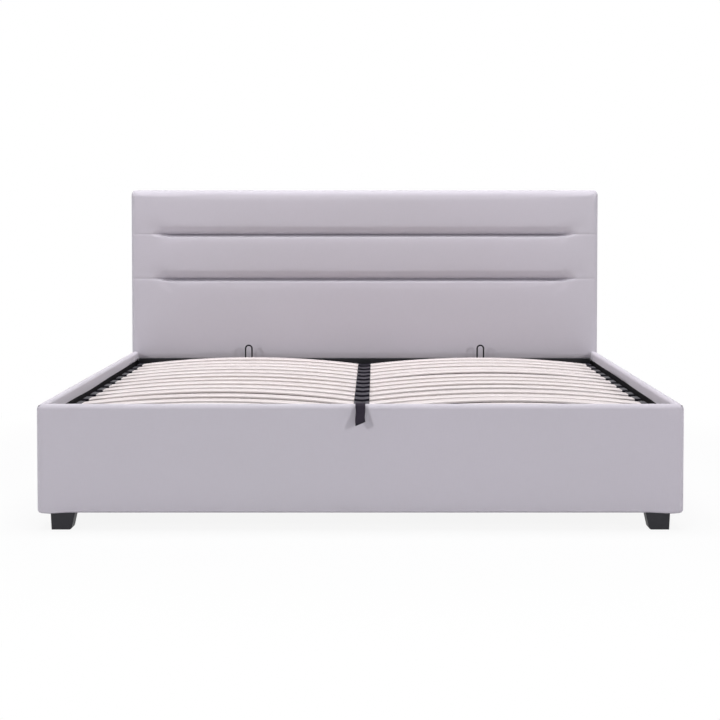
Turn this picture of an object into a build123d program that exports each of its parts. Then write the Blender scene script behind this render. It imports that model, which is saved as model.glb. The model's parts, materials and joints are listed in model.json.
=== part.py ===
"""King-size upholstered storage bed whose slatted base lifts on two gas struts.

+Z is up, the foot end faces -Y and the headboard stands at +Y. The origin lies on the
floor under the middle of the bed. Every length is in millimetres, every angle in degrees.
A name that ends in share or shares is a proportion of the size it is multiplied by.
"""
import math
import os

from build123d import *

os.makedirs("parts", exist_ok=True)

# Overall sizes
bed_width = 1900.0
clear_length = 2080.0          # outer face of the footboard to the face of the headboard
headboard_height = 1027.0
headboard_depth = 75.0
rail_top = 370.0
underside = 50.0               # lowest edge of the rails, and the height of the feet
strap_proud = 34.0             # how far the end of the pull strap stands in front of the footboard
overrun = 5.0                  # how far a cutting shape runs past what it cuts

# Boards and upholstery
board = 20.0
face_foam = 6.0
top_foam = 4.0
lip_fabric = 2.0
lip_drop = 33.0                # how far the fabric laps down the inner face of a rail
hem_fabric = 1.5
outer_arris = 11.0
inner_arris = 3.0
hem_arris = 4.0
corner_round = 12.0

# Headboard
pad_bottom_drop = 40.0         # lower edge of the pad, below the rail top
top_channel_drop = 185.0       # first pulled channel, below the headboard top
low_channel_drop = 368.0       # second pulled channel, below the headboard top
channel_depth = 30.0
channel_above = 36.0           # height over which the roll above turns in
channel_below = 13.0           # height over which the roll below turns out
channel_end = 102.0            # end of a channel, from the side of the headboard
channel_fade = 53.0            # length over which its end runs out
roll_crown = 3.0
roll_swell_share = 0.16        # swell of a turned-in edge, of the depth of the channel
fade_share = 0.3
border_share = 0.08
pad_top_round = 22.0
pad_low_round = 12.0
pad_side_round = 15.0
pad_side_turns = (90, 60, 30, 0)   # angles at which the side rounding is drawn
arc_middle_turn = 45               # angle at the middle of a quarter round
panel_corner = 14.0
back_cover = 1.5
back_inset = 8.0
base_front = 18.0
base_rib = 20.0
base_ribs = 10

# Bolts: flanged hexagon heads, all of one size
bolt_radius = 4.0
bolt_reach = 17.0
bolt_flange_radius = 9.0
bolt_flange = 1.6
bolt_head_across = 13.0
bolt_head = 5.4
bolt_clearance = 0.1
bolt_head_sides = 6

# Corner brackets
sheet = 3.0                    # steel sheet of every bracket on the boards
bracket_leg = 110.0
bracket_height = 230.0
bracket_bevel = 20.0
bracket_bolt_low = 70.0        # lower bolts, above the underside
bracket_bolt_high = 190.0
bracket_bolt_inset = 70.0
foot_plate_reach = 60.0
foot_plate_leg = 96.0
foot_plate_bevel = 30.0

# Feet
foot_width = 72.0
foot_inset = 39.5              # from the outer face of the rail
foot_setback = 4.0             # behind the face of the footboard
foot_depth = 62.0
foot_outer_taper = 2.4
foot_inner_taper = 11.0
foot_toe = 9.0
foot_heel = 3.0
foot_edge = 4.0

# Lifting frame of steel tube
tube_wall = 1.5
tube_edge = 3.0
side_tube_width = 40.0
side_tube_height = 25.0
side_tube_gap = 14.0           # rail board to the side tube
side_tube_drop = 58.0          # top of the side tubes, below the rail top
spine_width = 40.0
cross_tube = 35.0
foot_tube_setback = 45.0       # footboard face to the front of the foot tube
head_tube_setback = 35.0       # back of the head tube to the headboard face
mid_tube_width = 25.0
mid_tube_shares = (0.32, 0.64)
plug_flange = 2.0
plug_depth = 12.0
plug_fit = 0.1

# Slats and their caps
slat_rows = 13
slat_width = 70.0
slat_thickness = 8.0
first_slat_setback = 114.0     # middle of the head row to the headboard face
last_slat_setback = 181.6      # footboard face to the middle of the foot row
slat_rise = 28.0
slat_lift = 5.0                # underside of a slat's end, above its tube
slat_inner_x = 13.0
slat_tip_gap = 26.0            # rail board to the outer end of a slat
cap_wall = 4.0
cap_roof = 3.0
cap_fit = 0.2
cap_edge = 4.0
centre_cap_half = 24.5
centre_cap_dip = 3.0
side_cap_gap = 13.0            # rail board to the outer end of a side cap
side_cap_length = 22.5

# Mattress stops at the head
wire_radius = 3.0
hoop_width = 32.0
hoop_top_rise = 32.0           # top of a hoop, above the rail top
hoop_x = 469.0

# Pull strap
strap_width = 29.0
strap_sheet = 2.0
strap_end_drop = 60.0          # lowest corner, below the rail top
strap_end_slant = 12.0
strap_clearance = 1.3          # over the top of the footboard
strap_stand = 5.0              # in front of the footboard where the strap turns down
strap_bend = 9.0
strap_turn = 14.0              # bend where it comes off the footboard
strap_fold = 2.0
strap_tail = 4.0

# Hinge and gas struts
hinge_setback = 260.0          # hinge pin to the headboard face
hinge_drop = 22.0              # hinge pin below the side tube
hinge_pin_radius = 6.0
hinge_collar_radius = 11.0
hinge_head_radius = 10.0
hinge_head = 3.0
pin_clearance = 0.05
side_clearance = 0.4
lift_sheet = 4.0
hinge_lobe = 16.0
stud_lobe = 13.0
lobe_root = 42.0
plate_edge = 2.0               # how far a lift plate stays inside the tube's edges
strut_foot_setback = 50.0      # lower strut pin, from the hinge pin towards the foot
strut_foot_drop = 170.0        # lower strut pin, below the hinge pin
strut_head_setback = 350.0     # upper strut stud, from the hinge pin towards the foot
strut_side_gap = 27.0          # rail board to the middle of the strut
strut_pin_radius = 4.0
strut_collar_radius = 9.0
strut_head_radius = 10.0
strut_eye_radius = 12.0
strut_eye_width = 12.0
strut_neck_radius = 8.0
strut_body_radius = 11.0
strut_wall = 1.5
strut_body_start = 15.0
strut_rod_shown = 45.0         # bare rod between the cylinder and the upper stud, shut
strut_bush = 12.0
rod_radius = 5.0
rod_clearance = 0.3
piston_start = 165.0
piston_length = 10.0
blade_radius = 13.5
blade_width = 6.0
blade_neck = 26.0
blade_play = 4.3               # room round the upper stud, for the swing of the open pivot
stud_head_radius = 13.0
base_plate_top_lobe = 22.0
base_plate_foot_lobe = 13.0
base_plate_bolt_lobe = 18.0
base_bolt_drop = 110.0         # below the hinge pin
base_bolt_head_reach = 45.0    # from the hinge pin towards the head
base_bolt_foot_reach = 125.0   # from the hinge pin towards the foot

# Rest brackets with rubber pads
rest_length = 60.0
rest_leg = 56.0
rest_height = 48.0
rest_shares = (0.12, 0.5)
rest_gap = 0.3
rest_corner = 8.0
rest_bolt_drop = 28.0
rest_pad_width = 30.0
rest_pad_length = 50.0
rest_pad = 3.7

# Storage floor
floor_sheet = 5.0
floor_rise = 26.0              # underside of the floor, above the underside of the rails
floor_gap = 3.0
floor_panels = 2
panel_joint = 2.0
ledger_width = 20.0
ledger_gap = 2.0
beam_width = 50.0
leg_radius = 22.0
leg_foot_radius = 17.0
leg_shares = (0.2, 0.5, 0.8)

# Where the main planes and heights fall
foot_face_y = strap_proud - (clear_length + headboard_depth + strap_proud) / 2
pad_face_y = foot_face_y + clear_length
headboard_back_y = pad_face_y + headboard_depth
foot_board_front_y = foot_face_y + face_foam
foot_board_back_y = foot_board_front_y + board
rail_length = pad_face_y - foot_board_back_y
rail_middle_y = (pad_face_y + foot_board_back_y) / 2
rail_outer_x = bed_width / 2
board_outer_x = rail_outer_x - face_foam
board_inner_x = board_outer_x - board
rail_inner_x = board_inner_x - lip_fabric
board_bottom = underside + hem_fabric
board_top = rail_top - top_foam
lip_bottom = rail_top - lip_drop
pad_bottom = rail_top - pad_bottom_drop
pad_back_y = headboard_back_y - back_cover
panel_front_y = pad_back_y - board
panel_top = headboard_height - face_foam
floor_bottom = underside + floor_rise

side_tube_outer_x = board_inner_x - side_tube_gap
side_tube_inner_x = side_tube_outer_x - side_tube_width
side_tube_top = rail_top - side_tube_drop
side_tube_bottom = side_tube_top - side_tube_height
lift_front_y = foot_face_y + foot_tube_setback
lift_back_y = pad_face_y - head_tube_setback
lift_length = lift_back_y - lift_front_y
hoop_y = lift_back_y - cross_tube / 2
first_row_y = pad_face_y - first_slat_setback
row_pitch = (first_row_y - foot_face_y - last_slat_setback) / (slat_rows - 1)
row_places = [first_row_y - row * row_pitch for row in range(slat_rows)]

hinge_y = pad_face_y - hinge_setback
hinge_z = side_tube_bottom - hinge_drop
strut_x = board_inner_x - strut_side_gap
strut_foot_y = hinge_y - strut_foot_setback
strut_foot_z = hinge_z - strut_foot_drop
strut_head_y = hinge_y - strut_head_setback
strut_length = math.hypot(strut_head_y - strut_foot_y, hinge_z - strut_foot_z)
strut_lean = (0, (strut_head_y - strut_foot_y) / strut_length, (hinge_z - strut_foot_z) / strut_length)

# Planes and bolt places that several pieces share
CORNER = (Align.MIN, Align.MIN)
head_end = Plane.XZ.offset(-pad_face_y)
middle = Plane.XZ.offset(-rail_middle_y)
rail_face = Plane.YZ.offset(board_inner_x)
foot_board_face = Plane.XZ.offset(-foot_board_back_y)
hole_radius = bolt_radius + bolt_clearance
bracket_bolt_heights = (underside + bracket_bolt_low, underside + bracket_bolt_high)
end_places = [
    (side * (board_inner_x - bracket_bolt_inset), height)
    for side in (-1, 1)
    for height in bracket_bolt_heights
]
foot_places = [(foot_board_back_y + bracket_bolt_inset, height) for height in bracket_bolt_heights]
head_places = [(pad_face_y - bracket_bolt_inset, height) for height in bracket_bolt_heights]
hinge_places = [
    (hinge_y + base_bolt_head_reach, hinge_z - base_bolt_drop),
    (hinge_y - base_bolt_foot_reach, hinge_z - base_bolt_drop),
]
rest_ys = [foot_board_back_y + rail_length * share for share in rest_shares]
rest_top = side_tube_bottom - rest_gap - rest_pad
rest_places = [(rest_y, rest_top - rest_bolt_drop) for rest_y in rest_ys]
rail_places = foot_places + head_places + hinge_places + rest_places


def write(piece, name):
    """Label a finished piece and write its file."""
    piece.label = name
    export_step(piece, f"parts/{name}.step")


def write_pair(right, name):
    """Write a right-hand piece and its mirror image for the left of the bed."""
    with BuildPart() as left:
        mirror(right, about=Plane.YZ)
    write(right, f"{name}_right")
    write(left.part, f"{name}_left")


# Side rails: a board between footboard and headboard, drilled for its bolts
with BuildPart() as side_rail:
    with BuildSketch(head_end):
        with Locations((board_inner_x, board_bottom)):
            Rectangle(board, board_top - board_bottom, align=CORNER)
    extrude(amount=rail_length)
    with BuildSketch(rail_face):
        with Locations(*rail_places):
            Circle(hole_radius)
    extrude(amount=bolt_reach, mode=Mode.SUBTRACT)
write_pair(side_rail.part, "side_rail")

# Side rail covers: foam and fabric over the outer face, round the top and down the inner face
with BuildPart() as rail_cover:
    with BuildSketch(head_end) as section:
        with Locations((rail_inner_x, underside)):
            Rectangle(rail_outer_x - rail_inner_x, rail_top - underside, align=CORNER)
        top_corners = section.vertices().group_by(Axis.Y)[-1].sort_by(Axis.X)
        fillet(top_corners[-1], outer_arris)
        fillet(top_corners[0], inner_arris)
        fillet(section.vertices().group_by(Axis.Y)[0].sort_by(Axis.X)[-1], hem_arris)
        with Locations((board_inner_x, board_bottom)):
            Rectangle(board, board_top - board_bottom, align=CORNER, mode=Mode.SUBTRACT)
        with Locations((board_inner_x, lip_bottom)):
            Rectangle(lip_fabric + overrun, lip_bottom, align=(Align.MAX, Align.MAX), mode=Mode.SUBTRACT)
    extrude(amount=rail_length)
write_pair(rail_cover.part, "side_rail_cover")

# Footboard: its board, drilled for the corner brackets
with BuildPart() as footboard:
    with BuildSketch(foot_board_face):
        with Locations((0, board_bottom)):
            Rectangle(2 * board_outer_x, board_top - board_bottom, align=(Align.CENTER, Align.MIN))
    extrude(amount=board)
    with BuildSketch(foot_board_face):
        with Locations(*end_places):
            Circle(hole_radius)
    extrude(amount=bolt_reach, mode=Mode.SUBTRACT)
write(footboard.part, "footboard")

# Footboard cover: foam and fabric round the front, ends and top, with a lip between the rails
with BuildPart() as footboard_cover:
    with BuildSketch(foot_board_face):
        with Locations((0, underside)):
            Rectangle(bed_width, rail_top - underside, align=(Align.CENTER, Align.MIN))
    extrude(amount=face_foam + board)
    fillet(footboard_cover.edges().filter_by(Axis.Z).group_by(Axis.Y)[0], corner_round)
    top_edges = footboard_cover.faces().sort_by(Axis.Z)[-1].edges()
    fillet(top_edges.sort_by(Axis.Y)[:-1], outer_arris)
    low_edges = footboard_cover.faces().sort_by(Axis.Z)[0].edges()
    fillet(low_edges.sort_by(Axis.Y)[:-1], hem_arris)
    with BuildSketch(foot_board_face.offset(-overrun)):
        with Locations((0, board_bottom)):
            Rectangle(2 * board_outer_x, board_top - board_bottom, align=(Align.CENTER, Align.MIN))
    extrude(amount=board + overrun, mode=Mode.SUBTRACT)
    with BuildSketch(foot_board_face.offset(-lip_fabric)):
        with Locations((0, lip_bottom)):
            Rectangle(2 * rail_inner_x, lip_drop, align=(Align.CENTER, Align.MIN))
    extrude(amount=lip_fabric)
    lip_top = footboard_cover.edges().filter_by(Axis.X).group_by(Axis.Y)[-1].sort_by(Axis.Z)[-1]
    fillet(lip_top, lip_fabric / 2)
write(footboard_cover.part, "footboard_cover")

# Headboard panel: the rear board that carries the pad
with BuildPart() as headboard_panel:
    with BuildSketch(Plane.XZ.offset(-pad_back_y)) as outline:
        with Locations((0, underside)):
            Rectangle(2 * board_outer_x, panel_top - underside, align=(Align.CENTER, Align.MIN))
        fillet(outline.vertices().group_by(Axis.Y)[-1], panel_corner)
    extrude(amount=board)
write(headboard_panel.part, "headboard_panel")

# Headboard base: the lower front board with ribs glued behind it, where the rails butt
with BuildPart() as headboard_base:
    rib_depth = panel_front_y - pad_face_y - base_front
    with BuildSketch(Plane.XY.offset(underside)):
        with Locations((0, pad_face_y)):
            Rectangle(2 * board_outer_x, base_front, align=(Align.CENTER, Align.MIN))
        with Locations((0, pad_face_y + base_front + rib_depth / 2)):
            with GridLocations((2 * board_outer_x - base_rib) / (base_ribs - 1), 0, base_ribs, 1):
                Rectangle(base_rib, rib_depth)
    extrude(amount=pad_bottom - underside)
    with BuildSketch(head_end):
        with Locations(*end_places):
            Circle(hole_radius)
    extrude(amount=-bolt_reach, mode=Mode.SUBTRACT)
write(headboard_base.part, "headboard_base")


# Headboard pad: crowned rolls between two pulled channels, wrapped round the panel's edges
def pad_outline(pull, draw):
    """The pad's closed outline in arcs and lines, where it is crossed by a plane of constant X.

    pull is the share of the channels' full depth, draw is how far the edges are drawn in.
    """
    face = pad_face_y + roll_crown + draw
    top = headboard_height - draw
    low = pad_bottom + draw / 2
    depth = channel_depth * pull
    swell = depth * roll_swell_share
    over = math.hypot(depth, channel_above)
    under = math.hypot(depth, channel_below)
    bevel = 1 - math.cos(math.radians(arc_middle_turn))
    start = top - pad_top_round
    with BuildLine() as outline:
        ThreePointArc(
            (face + pad_top_round, top),
            (face + pad_top_round * bevel, top - pad_top_round * bevel),
            (face, start),
        )
        for channel_drop in (top_channel_drop, low_channel_drop):
            seam = headboard_height - channel_drop
            turn = seam + channel_above
            rise = seam - channel_below
            over_y = face + depth / 2 - swell * channel_above / over
            under_y = face + depth / 2 - swell * channel_below / under
            over_z = seam + channel_above / 2 - swell * depth / over
            under_z = seam - channel_below / 2 + swell * depth / under
            ThreePointArc((face, start), (face - roll_crown, (start + turn) / 2), (face, turn))
            ThreePointArc((face, turn), (over_y, over_z), (face + depth, seam))
            ThreePointArc((face + depth, seam), (under_y, under_z), (face, rise))
            start = rise
        turn = low + pad_low_round
        ThreePointArc((face, start), (face - roll_crown, (start + turn) / 2), (face, turn))
        ThreePointArc(
            (face, turn),
            (face + pad_low_round * bevel, low + pad_low_round * bevel),
            (face + pad_low_round, low),
        )
        Polyline(
            (face + pad_low_round, low),
            (pad_back_y, low),
            (pad_back_y, top),
            (face + pad_top_round, top),
        )
    return outline.line


channel_stop_x = rail_outer_x - channel_end
pad_stations = [
    (channel_stop_x, 1, 0),
    (channel_stop_x + channel_fade / 2, fade_share, 0),
    (channel_stop_x + channel_fade, border_share, 0),
]
for side_turn in pad_side_turns:
    station_x = rail_outer_x - pad_side_round * (1 - math.cos(math.radians(side_turn)))
    pad_stations.append((station_x, border_share, pad_side_round * (1 - math.sin(math.radians(side_turn)))))
pad_stations = [(-station_x, pull, draw) for station_x, pull, draw in reversed(pad_stations)] + pad_stations
side_strip_top = rail_top - outer_arris
with BuildPart() as headboard_pad:
    for station_x, pull, draw in pad_stations:
        with BuildSketch(Plane.YZ.offset(station_x)):
            add(pad_outline(pull, draw))
            make_face()
    loft(ruled=True)
    with BuildSketch(Plane.XY.offset(underside)):
        for side in (-1, 1):
            with Locations((side * (board_outer_x + face_foam / 2), pad_face_y)):
                Rectangle(face_foam, pad_back_y - pad_face_y, align=(Align.CENTER, Align.MIN))
    extrude(amount=side_strip_top - underside)
    with BuildSketch(Plane.XZ.offset(-pad_back_y - overrun)) as panel_space:
        with Locations((0, underside - overrun)):
            Rectangle(2 * board_outer_x, panel_top - underside + overrun, align=(Align.CENTER, Align.MIN))
        fillet(panel_space.vertices().group_by(Axis.Y)[-1], panel_corner)
    extrude(amount=board + overrun, mode=Mode.SUBTRACT)
write(headboard_pad.part, "headboard_pad")

# Headboard back cover: a thin lining stapled over the panel
with BuildPart() as back_lining:
    with BuildSketch(Plane.XZ.offset(-headboard_back_y)) as outline:
        with Locations((0, underside)):
            Rectangle(
                bed_width - 2 * back_inset, headboard_height - back_inset - underside,
                align=(Align.CENTER, Align.MIN),
            )
        fillet(outline.vertices().group_by(Axis.Y)[-1], panel_corner)
    extrude(amount=back_cover)
write(back_lining.part, "headboard_back_cover")

# Feet: tapered blocks under the corners, upright outside and toed in on the inner side
foot_outer_x = rail_outer_x - foot_inset
foot_inner_x = foot_outer_x - foot_width
with BuildPart() as front_foot:
    with BuildSketch(Plane.XZ.offset(-(foot_face_y + foot_setback + foot_depth))) as foot_front:
        with BuildLine():
            Polyline(
                (foot_outer_x, underside),
                (foot_outer_x - foot_outer_taper, 0),
                (foot_inner_x + foot_inner_taper, 0),
                (foot_inner_x, underside),
                close=True,
            )
        make_face()
        toe, heel = foot_front.vertices().group_by(Axis.Y)[0].sort_by(Axis.X)
        fillet(toe, foot_toe)
        fillet(heel, foot_heel)
    extrude(amount=foot_depth)
    upright_faces = front_foot.faces().filter_by(Axis.Y)
    fillet(upright_faces.edges().filter_by(lambda edge: edge.center().Z < underside - foot_edge), foot_edge)
write_pair(front_foot.part, "foot_front")
with BuildPart() as rear_foot:
    mirror(front_foot.part, about=middle)
write_pair(rear_foot.part, "foot_rear")

# Corner brackets: bent steel angles with a plate over each foot
with BuildPart() as corner_brackets:
    with BuildSketch(Plane.XY.offset(underside)):
        with Locations((board_inner_x, foot_board_back_y)):
            Rectangle(sheet, bracket_leg, align=(Align.MAX, Align.MIN))
            Rectangle(bracket_leg, sheet, align=(Align.MAX, Align.MIN))
    extrude(amount=bracket_height)
    leg_ends = corner_brackets.edges().filter_by(Axis.X).group_by(Axis.Y)[-1].sort_by(Axis.Z)[-1]
    chamfer(leg_ends, bracket_bevel)
    wing_ends = corner_brackets.edges().filter_by(Axis.Y).group_by(Axis.X)[0].sort_by(Axis.Z)[-1]
    chamfer(wing_ends, bracket_bevel)
    with BuildSketch(Plane.XY.offset(underside)) as plate:
        with Locations((board_inner_x, foot_board_back_y)):
            Rectangle(foot_plate_leg, foot_plate_reach, align=(Align.MAX, Align.MIN))
        chamfer(plate.vertices().group_by(Axis.Y)[-1].sort_by(Axis.X)[0], foot_plate_bevel)
    extrude(amount=sheet)
    with BuildSketch(rail_face):
        with Locations(*foot_places):
            Circle(hole_radius)
    extrude(amount=-sheet, mode=Mode.SUBTRACT)
    with BuildSketch(foot_board_face):
        with Locations(*end_places):
            Circle(hole_radius)
    extrude(amount=-sheet, mode=Mode.SUBTRACT)
    mirror(about=Plane.YZ)
    mirror(about=middle)
write(corner_brackets.part, "corner_brackets")


# Frame bolts: every bracket is held by hexagon bolts with a flange under the head
def bolts(seat, places):
    """Bolts whose flanges lie on the seat plane and whose shanks run along its normal."""
    with BuildPart() as group:
        with BuildSketch(seat):
            with Locations(*places):
                Circle(bolt_radius)
        extrude(amount=bolt_reach)
        with BuildSketch(seat):
            with Locations(*places):
                Circle(bolt_flange_radius)
        extrude(amount=-bolt_flange)
        with BuildSketch(seat.offset(-bolt_flange)):
            with Locations(*places):
                RegularPolygon(bolt_head_across / 2, bolt_head_sides, major_radius=False)
        extrude(amount=-bolt_head)
    return group.part


foot_end_bolts = bolts(Plane.XZ.offset(-foot_board_back_y - sheet), end_places)
rail_bolts = bolts(rail_face.offset(-sheet), rail_places)
with BuildPart() as frame_bolts:
    add(foot_end_bolts)
    mirror(foot_end_bolts, about=middle)
    add(rail_bolts)
    mirror(rail_bolts, about=Plane.YZ)
write(frame_bolts.part, "frame_bolts")

# Ledgers: strips that carry the storage floor along the boards, clear of the brackets
ledger_end_y = foot_board_back_y + bracket_leg + ledger_gap
ledger_side_x = board_inner_x - bracket_leg - ledger_gap
with BuildPart() as ledgers:
    with BuildSketch(Plane.XY.offset(board_bottom)):
        with Locations((board_inner_x, rail_middle_y)):
            Rectangle(ledger_width, 2 * (rail_middle_y - ledger_end_y), align=(Align.MAX, Align.CENTER))
        with Locations((ledger_side_x, foot_board_back_y)):
            Rectangle(
                ledger_side_x - beam_width / 2 - ledger_gap, ledger_width, align=(Align.MAX, Align.MIN)
            )
    extrude(amount=floor_bottom - board_bottom)
    mirror(about=Plane.YZ)
    mirror(about=middle)
write(ledgers.part, "floor_ledgers")

# Centre beam under the floor, and the legs that stand it on the ground
with BuildPart() as centre_beam:
    with BuildSketch(head_end):
        with Locations((0, underside)):
            Rectangle(beam_width, floor_bottom - underside, align=(Align.CENTER, Align.MIN))
    extrude(amount=rail_length)
write(centre_beam.part, "centre_beam")

with BuildPart() as centre_legs:
    leg_places = [(0, foot_board_back_y + rail_length * share) for share in leg_shares]
    with Locations(*[(place_x, place_y, underside / 2) for place_x, place_y in leg_places]):
        Cone(leg_foot_radius, leg_radius, underside)
write(centre_legs.part, "centre_legs")

# Storage floor: thin panels side by side across the ledgers and the beam
floor_start_y = foot_board_back_y + sheet + floor_gap
panel_pitch = (2 * (rail_middle_y - floor_start_y) + panel_joint) / floor_panels
for panel in range(floor_panels):
    with BuildPart() as floor_panel:
        with BuildSketch(Plane.XY.offset(floor_bottom)):
            with Locations((0, floor_start_y + panel * panel_pitch)):
                Rectangle(
                    2 * (board_inner_x - sheet - floor_gap), panel_pitch - panel_joint,
                    align=(Align.CENTER, Align.MIN),
                )
        extrude(amount=floor_sheet)
    write(floor_panel.part, f"storage_floor_{panel + 1}")


# Lifting frame: rectangular steel tubes, the cross tubes lying on the ends of the long ones
def tube(start, width, height, length):
    """Hollow tube centred on the start plane's origin and running along its normal."""
    with BuildPart() as body:
        with BuildSketch(start):
            RectangleRounded(width, height, tube_edge)
            RectangleRounded(
                width - 2 * tube_wall, height - 2 * tube_wall, tube_edge - tube_wall, mode=Mode.SUBTRACT
            )
        extrude(amount=length)
    return body.part


def plug(end, width, height):
    """Plastic plug on the end plane of a tube, its stem running against the plane's normal."""
    with BuildPart() as body:
        with BuildSketch(end):
            RectangleRounded(width, height, tube_edge)
        extrude(amount=plug_flange)
        with BuildSketch(end):
            Rectangle(width - 2 * (tube_wall + plug_fit) - tube_edge, height - 2 * (tube_wall + plug_fit))
        extrude(amount=-plug_depth)
    return body.part


side_tube_x = (side_tube_outer_x + side_tube_inner_x) / 2
long_tube_z = (side_tube_top + side_tube_bottom) / 2
cross_tube_z = side_tube_top + cross_tube / 2
foot_tube_y = lift_front_y + cross_tube / 2
write_pair(
    tube(
        Plane(origin=(side_tube_x, lift_back_y, long_tube_z), x_dir=(1, 0, 0), z_dir=(0, -1, 0)),
        side_tube_width, side_tube_height, lift_length,
    ),
    "lift_side_tube",
)
write(
    tube(
        Plane(origin=(0, lift_back_y, long_tube_z), x_dir=(1, 0, 0), z_dir=(0, -1, 0)),
        spine_width, side_tube_height, lift_length,
    ),
    "lift_spine_tube",
)
for cross_name, cross_y in (("lift_head_tube", hoop_y), ("lift_foot_tube", foot_tube_y)):
    write(
        tube(
            Plane(origin=(-side_tube_outer_x, cross_y, cross_tube_z), x_dir=(0, 1, 0), z_dir=(1, 0, 0)),
            cross_tube, cross_tube, 2 * side_tube_outer_x,
        ),
        cross_name,
    )

with BuildPart() as mid_tubes:
    for mid_share in mid_tube_shares:
        mid_y = lift_front_y + lift_length * mid_share
        add(
            tube(
                Plane(origin=(spine_width / 2, mid_y, long_tube_z), x_dir=(0, 1, 0), z_dir=(1, 0, 0)),
                mid_tube_width, side_tube_height, side_tube_inner_x - spine_width / 2,
            )
        )
    mirror(about=Plane.YZ)
write(mid_tubes.part, "lift_mid_tubes")

with BuildPart() as tube_plugs:
    for end_y, facing in ((lift_back_y, 1), (lift_front_y, -1)):
        for end_x in (-side_tube_x, 0, side_tube_x):
            width = side_tube_width if end_x else spine_width
            end_plane = Plane(origin=(end_x, end_y, long_tube_z), x_dir=(1, 0, 0), z_dir=(0, facing, 0))
            add(plug(end_plane, width, side_tube_height))
    for cross_y in (hoop_y, foot_tube_y):
        for side in (-1, 1):
            end_plane = Plane(
                origin=(side * side_tube_outer_x, cross_y, cross_tube_z), x_dir=(0, 1, 0), z_dir=(side, 0, 0)
            )
            add(plug(end_plane, cross_tube, cross_tube))
write(tube_plugs.part, "tube_plugs")

# Sprung slats: bent laminated wood, two to a row, arched between the centre and side caps
slat_outer_x = board_inner_x - slat_tip_gap
slat_middle_x = (slat_inner_x + slat_outer_x) / 2
slat_bottom_z = side_tube_top + slat_lift
slat_top_z = slat_bottom_z + slat_thickness


def slat(row_y, fit, width):
    """One right-hand slat on its row, larger all round by the fit."""
    with BuildPart() as body:
        with BuildSketch(Plane.XZ.offset(-row_y - width / 2 - fit)):
            with BuildLine():
                low = slat_bottom_z - fit
                high = slat_top_z + fit
                start = slat_inner_x - fit
                end = slat_outer_x + fit
                ThreePointArc((start, high), (slat_middle_x, high + slat_rise), (end, high))
                Line((end, high), (end, low))
                ThreePointArc((end, low), (slat_middle_x, low + slat_rise), (start, low))
                Line((start, low), (start, high))
            make_face()
        extrude(amount=width + 2 * fit)
    return body.part


for row, row_y in enumerate(row_places):
    right_slat = slat(row_y, 0, slat_width)
    with BuildPart() as slat_row:
        add(right_slat)
        mirror(right_slat, about=Plane.YZ)
    write(slat_row.part, f"slat_row_{row + 1:02d}")

# Side caps: plastic pockets on the side tubes that hold the outer ends of the slats
cap_depth = slat_width + 2 * cap_wall
cap_top_z = slat_top_z + cap_roof
cap_cut = slat(0, cap_fit, slat_width)
side_cap_outer_x = board_inner_x - side_cap_gap
with BuildPart() as side_cap:
    with BuildSketch(Plane.YZ.offset(side_cap_outer_x)) as cap_end:
        with Locations((0, side_tube_top)):
            Rectangle(cap_depth, cap_top_z - side_tube_top, align=(Align.CENTER, Align.MIN))
        fillet(cap_end.vertices().group_by(Axis.Y)[-1], cap_edge)
    extrude(amount=-side_cap_length)
    outer_top = side_cap.edges().group_by(Axis.X)[-1].filter_by(Axis.Y).sort_by(Axis.Z)[-1]
    chamfer(outer_top, cap_edge)
    add(cap_cut, mode=Mode.SUBTRACT)
with BuildPart() as side_caps:
    with Locations(*[(0, row_y, 0) for row_y in row_places]):
        add(side_cap.part)
write_pair(side_caps.part, "side_caps")

# Centre caps: double pockets on the spine tube, dipped between the two slats they hold
with BuildPart() as centre_cap:
    with BuildSketch(Plane.XZ.offset(-cap_depth / 2)):
        with BuildLine():
            Polyline(
                (centre_cap_half, cap_top_z),
                (centre_cap_half, side_tube_top),
                (-centre_cap_half, side_tube_top),
                (-centre_cap_half, cap_top_z),
            )
            ThreePointArc(
                (-centre_cap_half, cap_top_z), (0, cap_top_z - centre_cap_dip), (centre_cap_half, cap_top_z)
            )
        make_face()
    extrude(amount=cap_depth)
    add(cap_cut, mode=Mode.SUBTRACT)
    mirror(cap_cut, about=Plane.YZ, mode=Mode.SUBTRACT)
with BuildPart() as centre_caps:
    with Locations(*[(0, row_y, 0) for row_y in row_places]):
        add(centre_cap.part)
write(centre_caps.part, "centre_caps")

# Mattress stops: bent wire hoops standing on the head tube
hoop_radius = hoop_width / 2 - wire_radius
hoop_foot_z = side_tube_top + cross_tube
hoop_shoulder_z = rail_top + hoop_top_rise - hoop_width / 2
with BuildPart() as hoop:
    with BuildLine(Plane.XZ.offset(-hoop_y)):
        Line((hoop_x - hoop_radius, hoop_foot_z), (hoop_x - hoop_radius, hoop_shoulder_z))
        ThreePointArc(
            (hoop_x - hoop_radius, hoop_shoulder_z),
            (hoop_x, hoop_shoulder_z + hoop_radius),
            (hoop_x + hoop_radius, hoop_shoulder_z),
        )
        Line((hoop_x + hoop_radius, hoop_shoulder_z), (hoop_x + hoop_radius, hoop_foot_z))
    with BuildSketch(Plane.XY.offset(hoop_foot_z)):
        with Locations((hoop_x - hoop_radius, hoop_y)):
            Circle(wire_radius)
    sweep()
write_pair(hoop.part, "mattress_stop")

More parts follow.
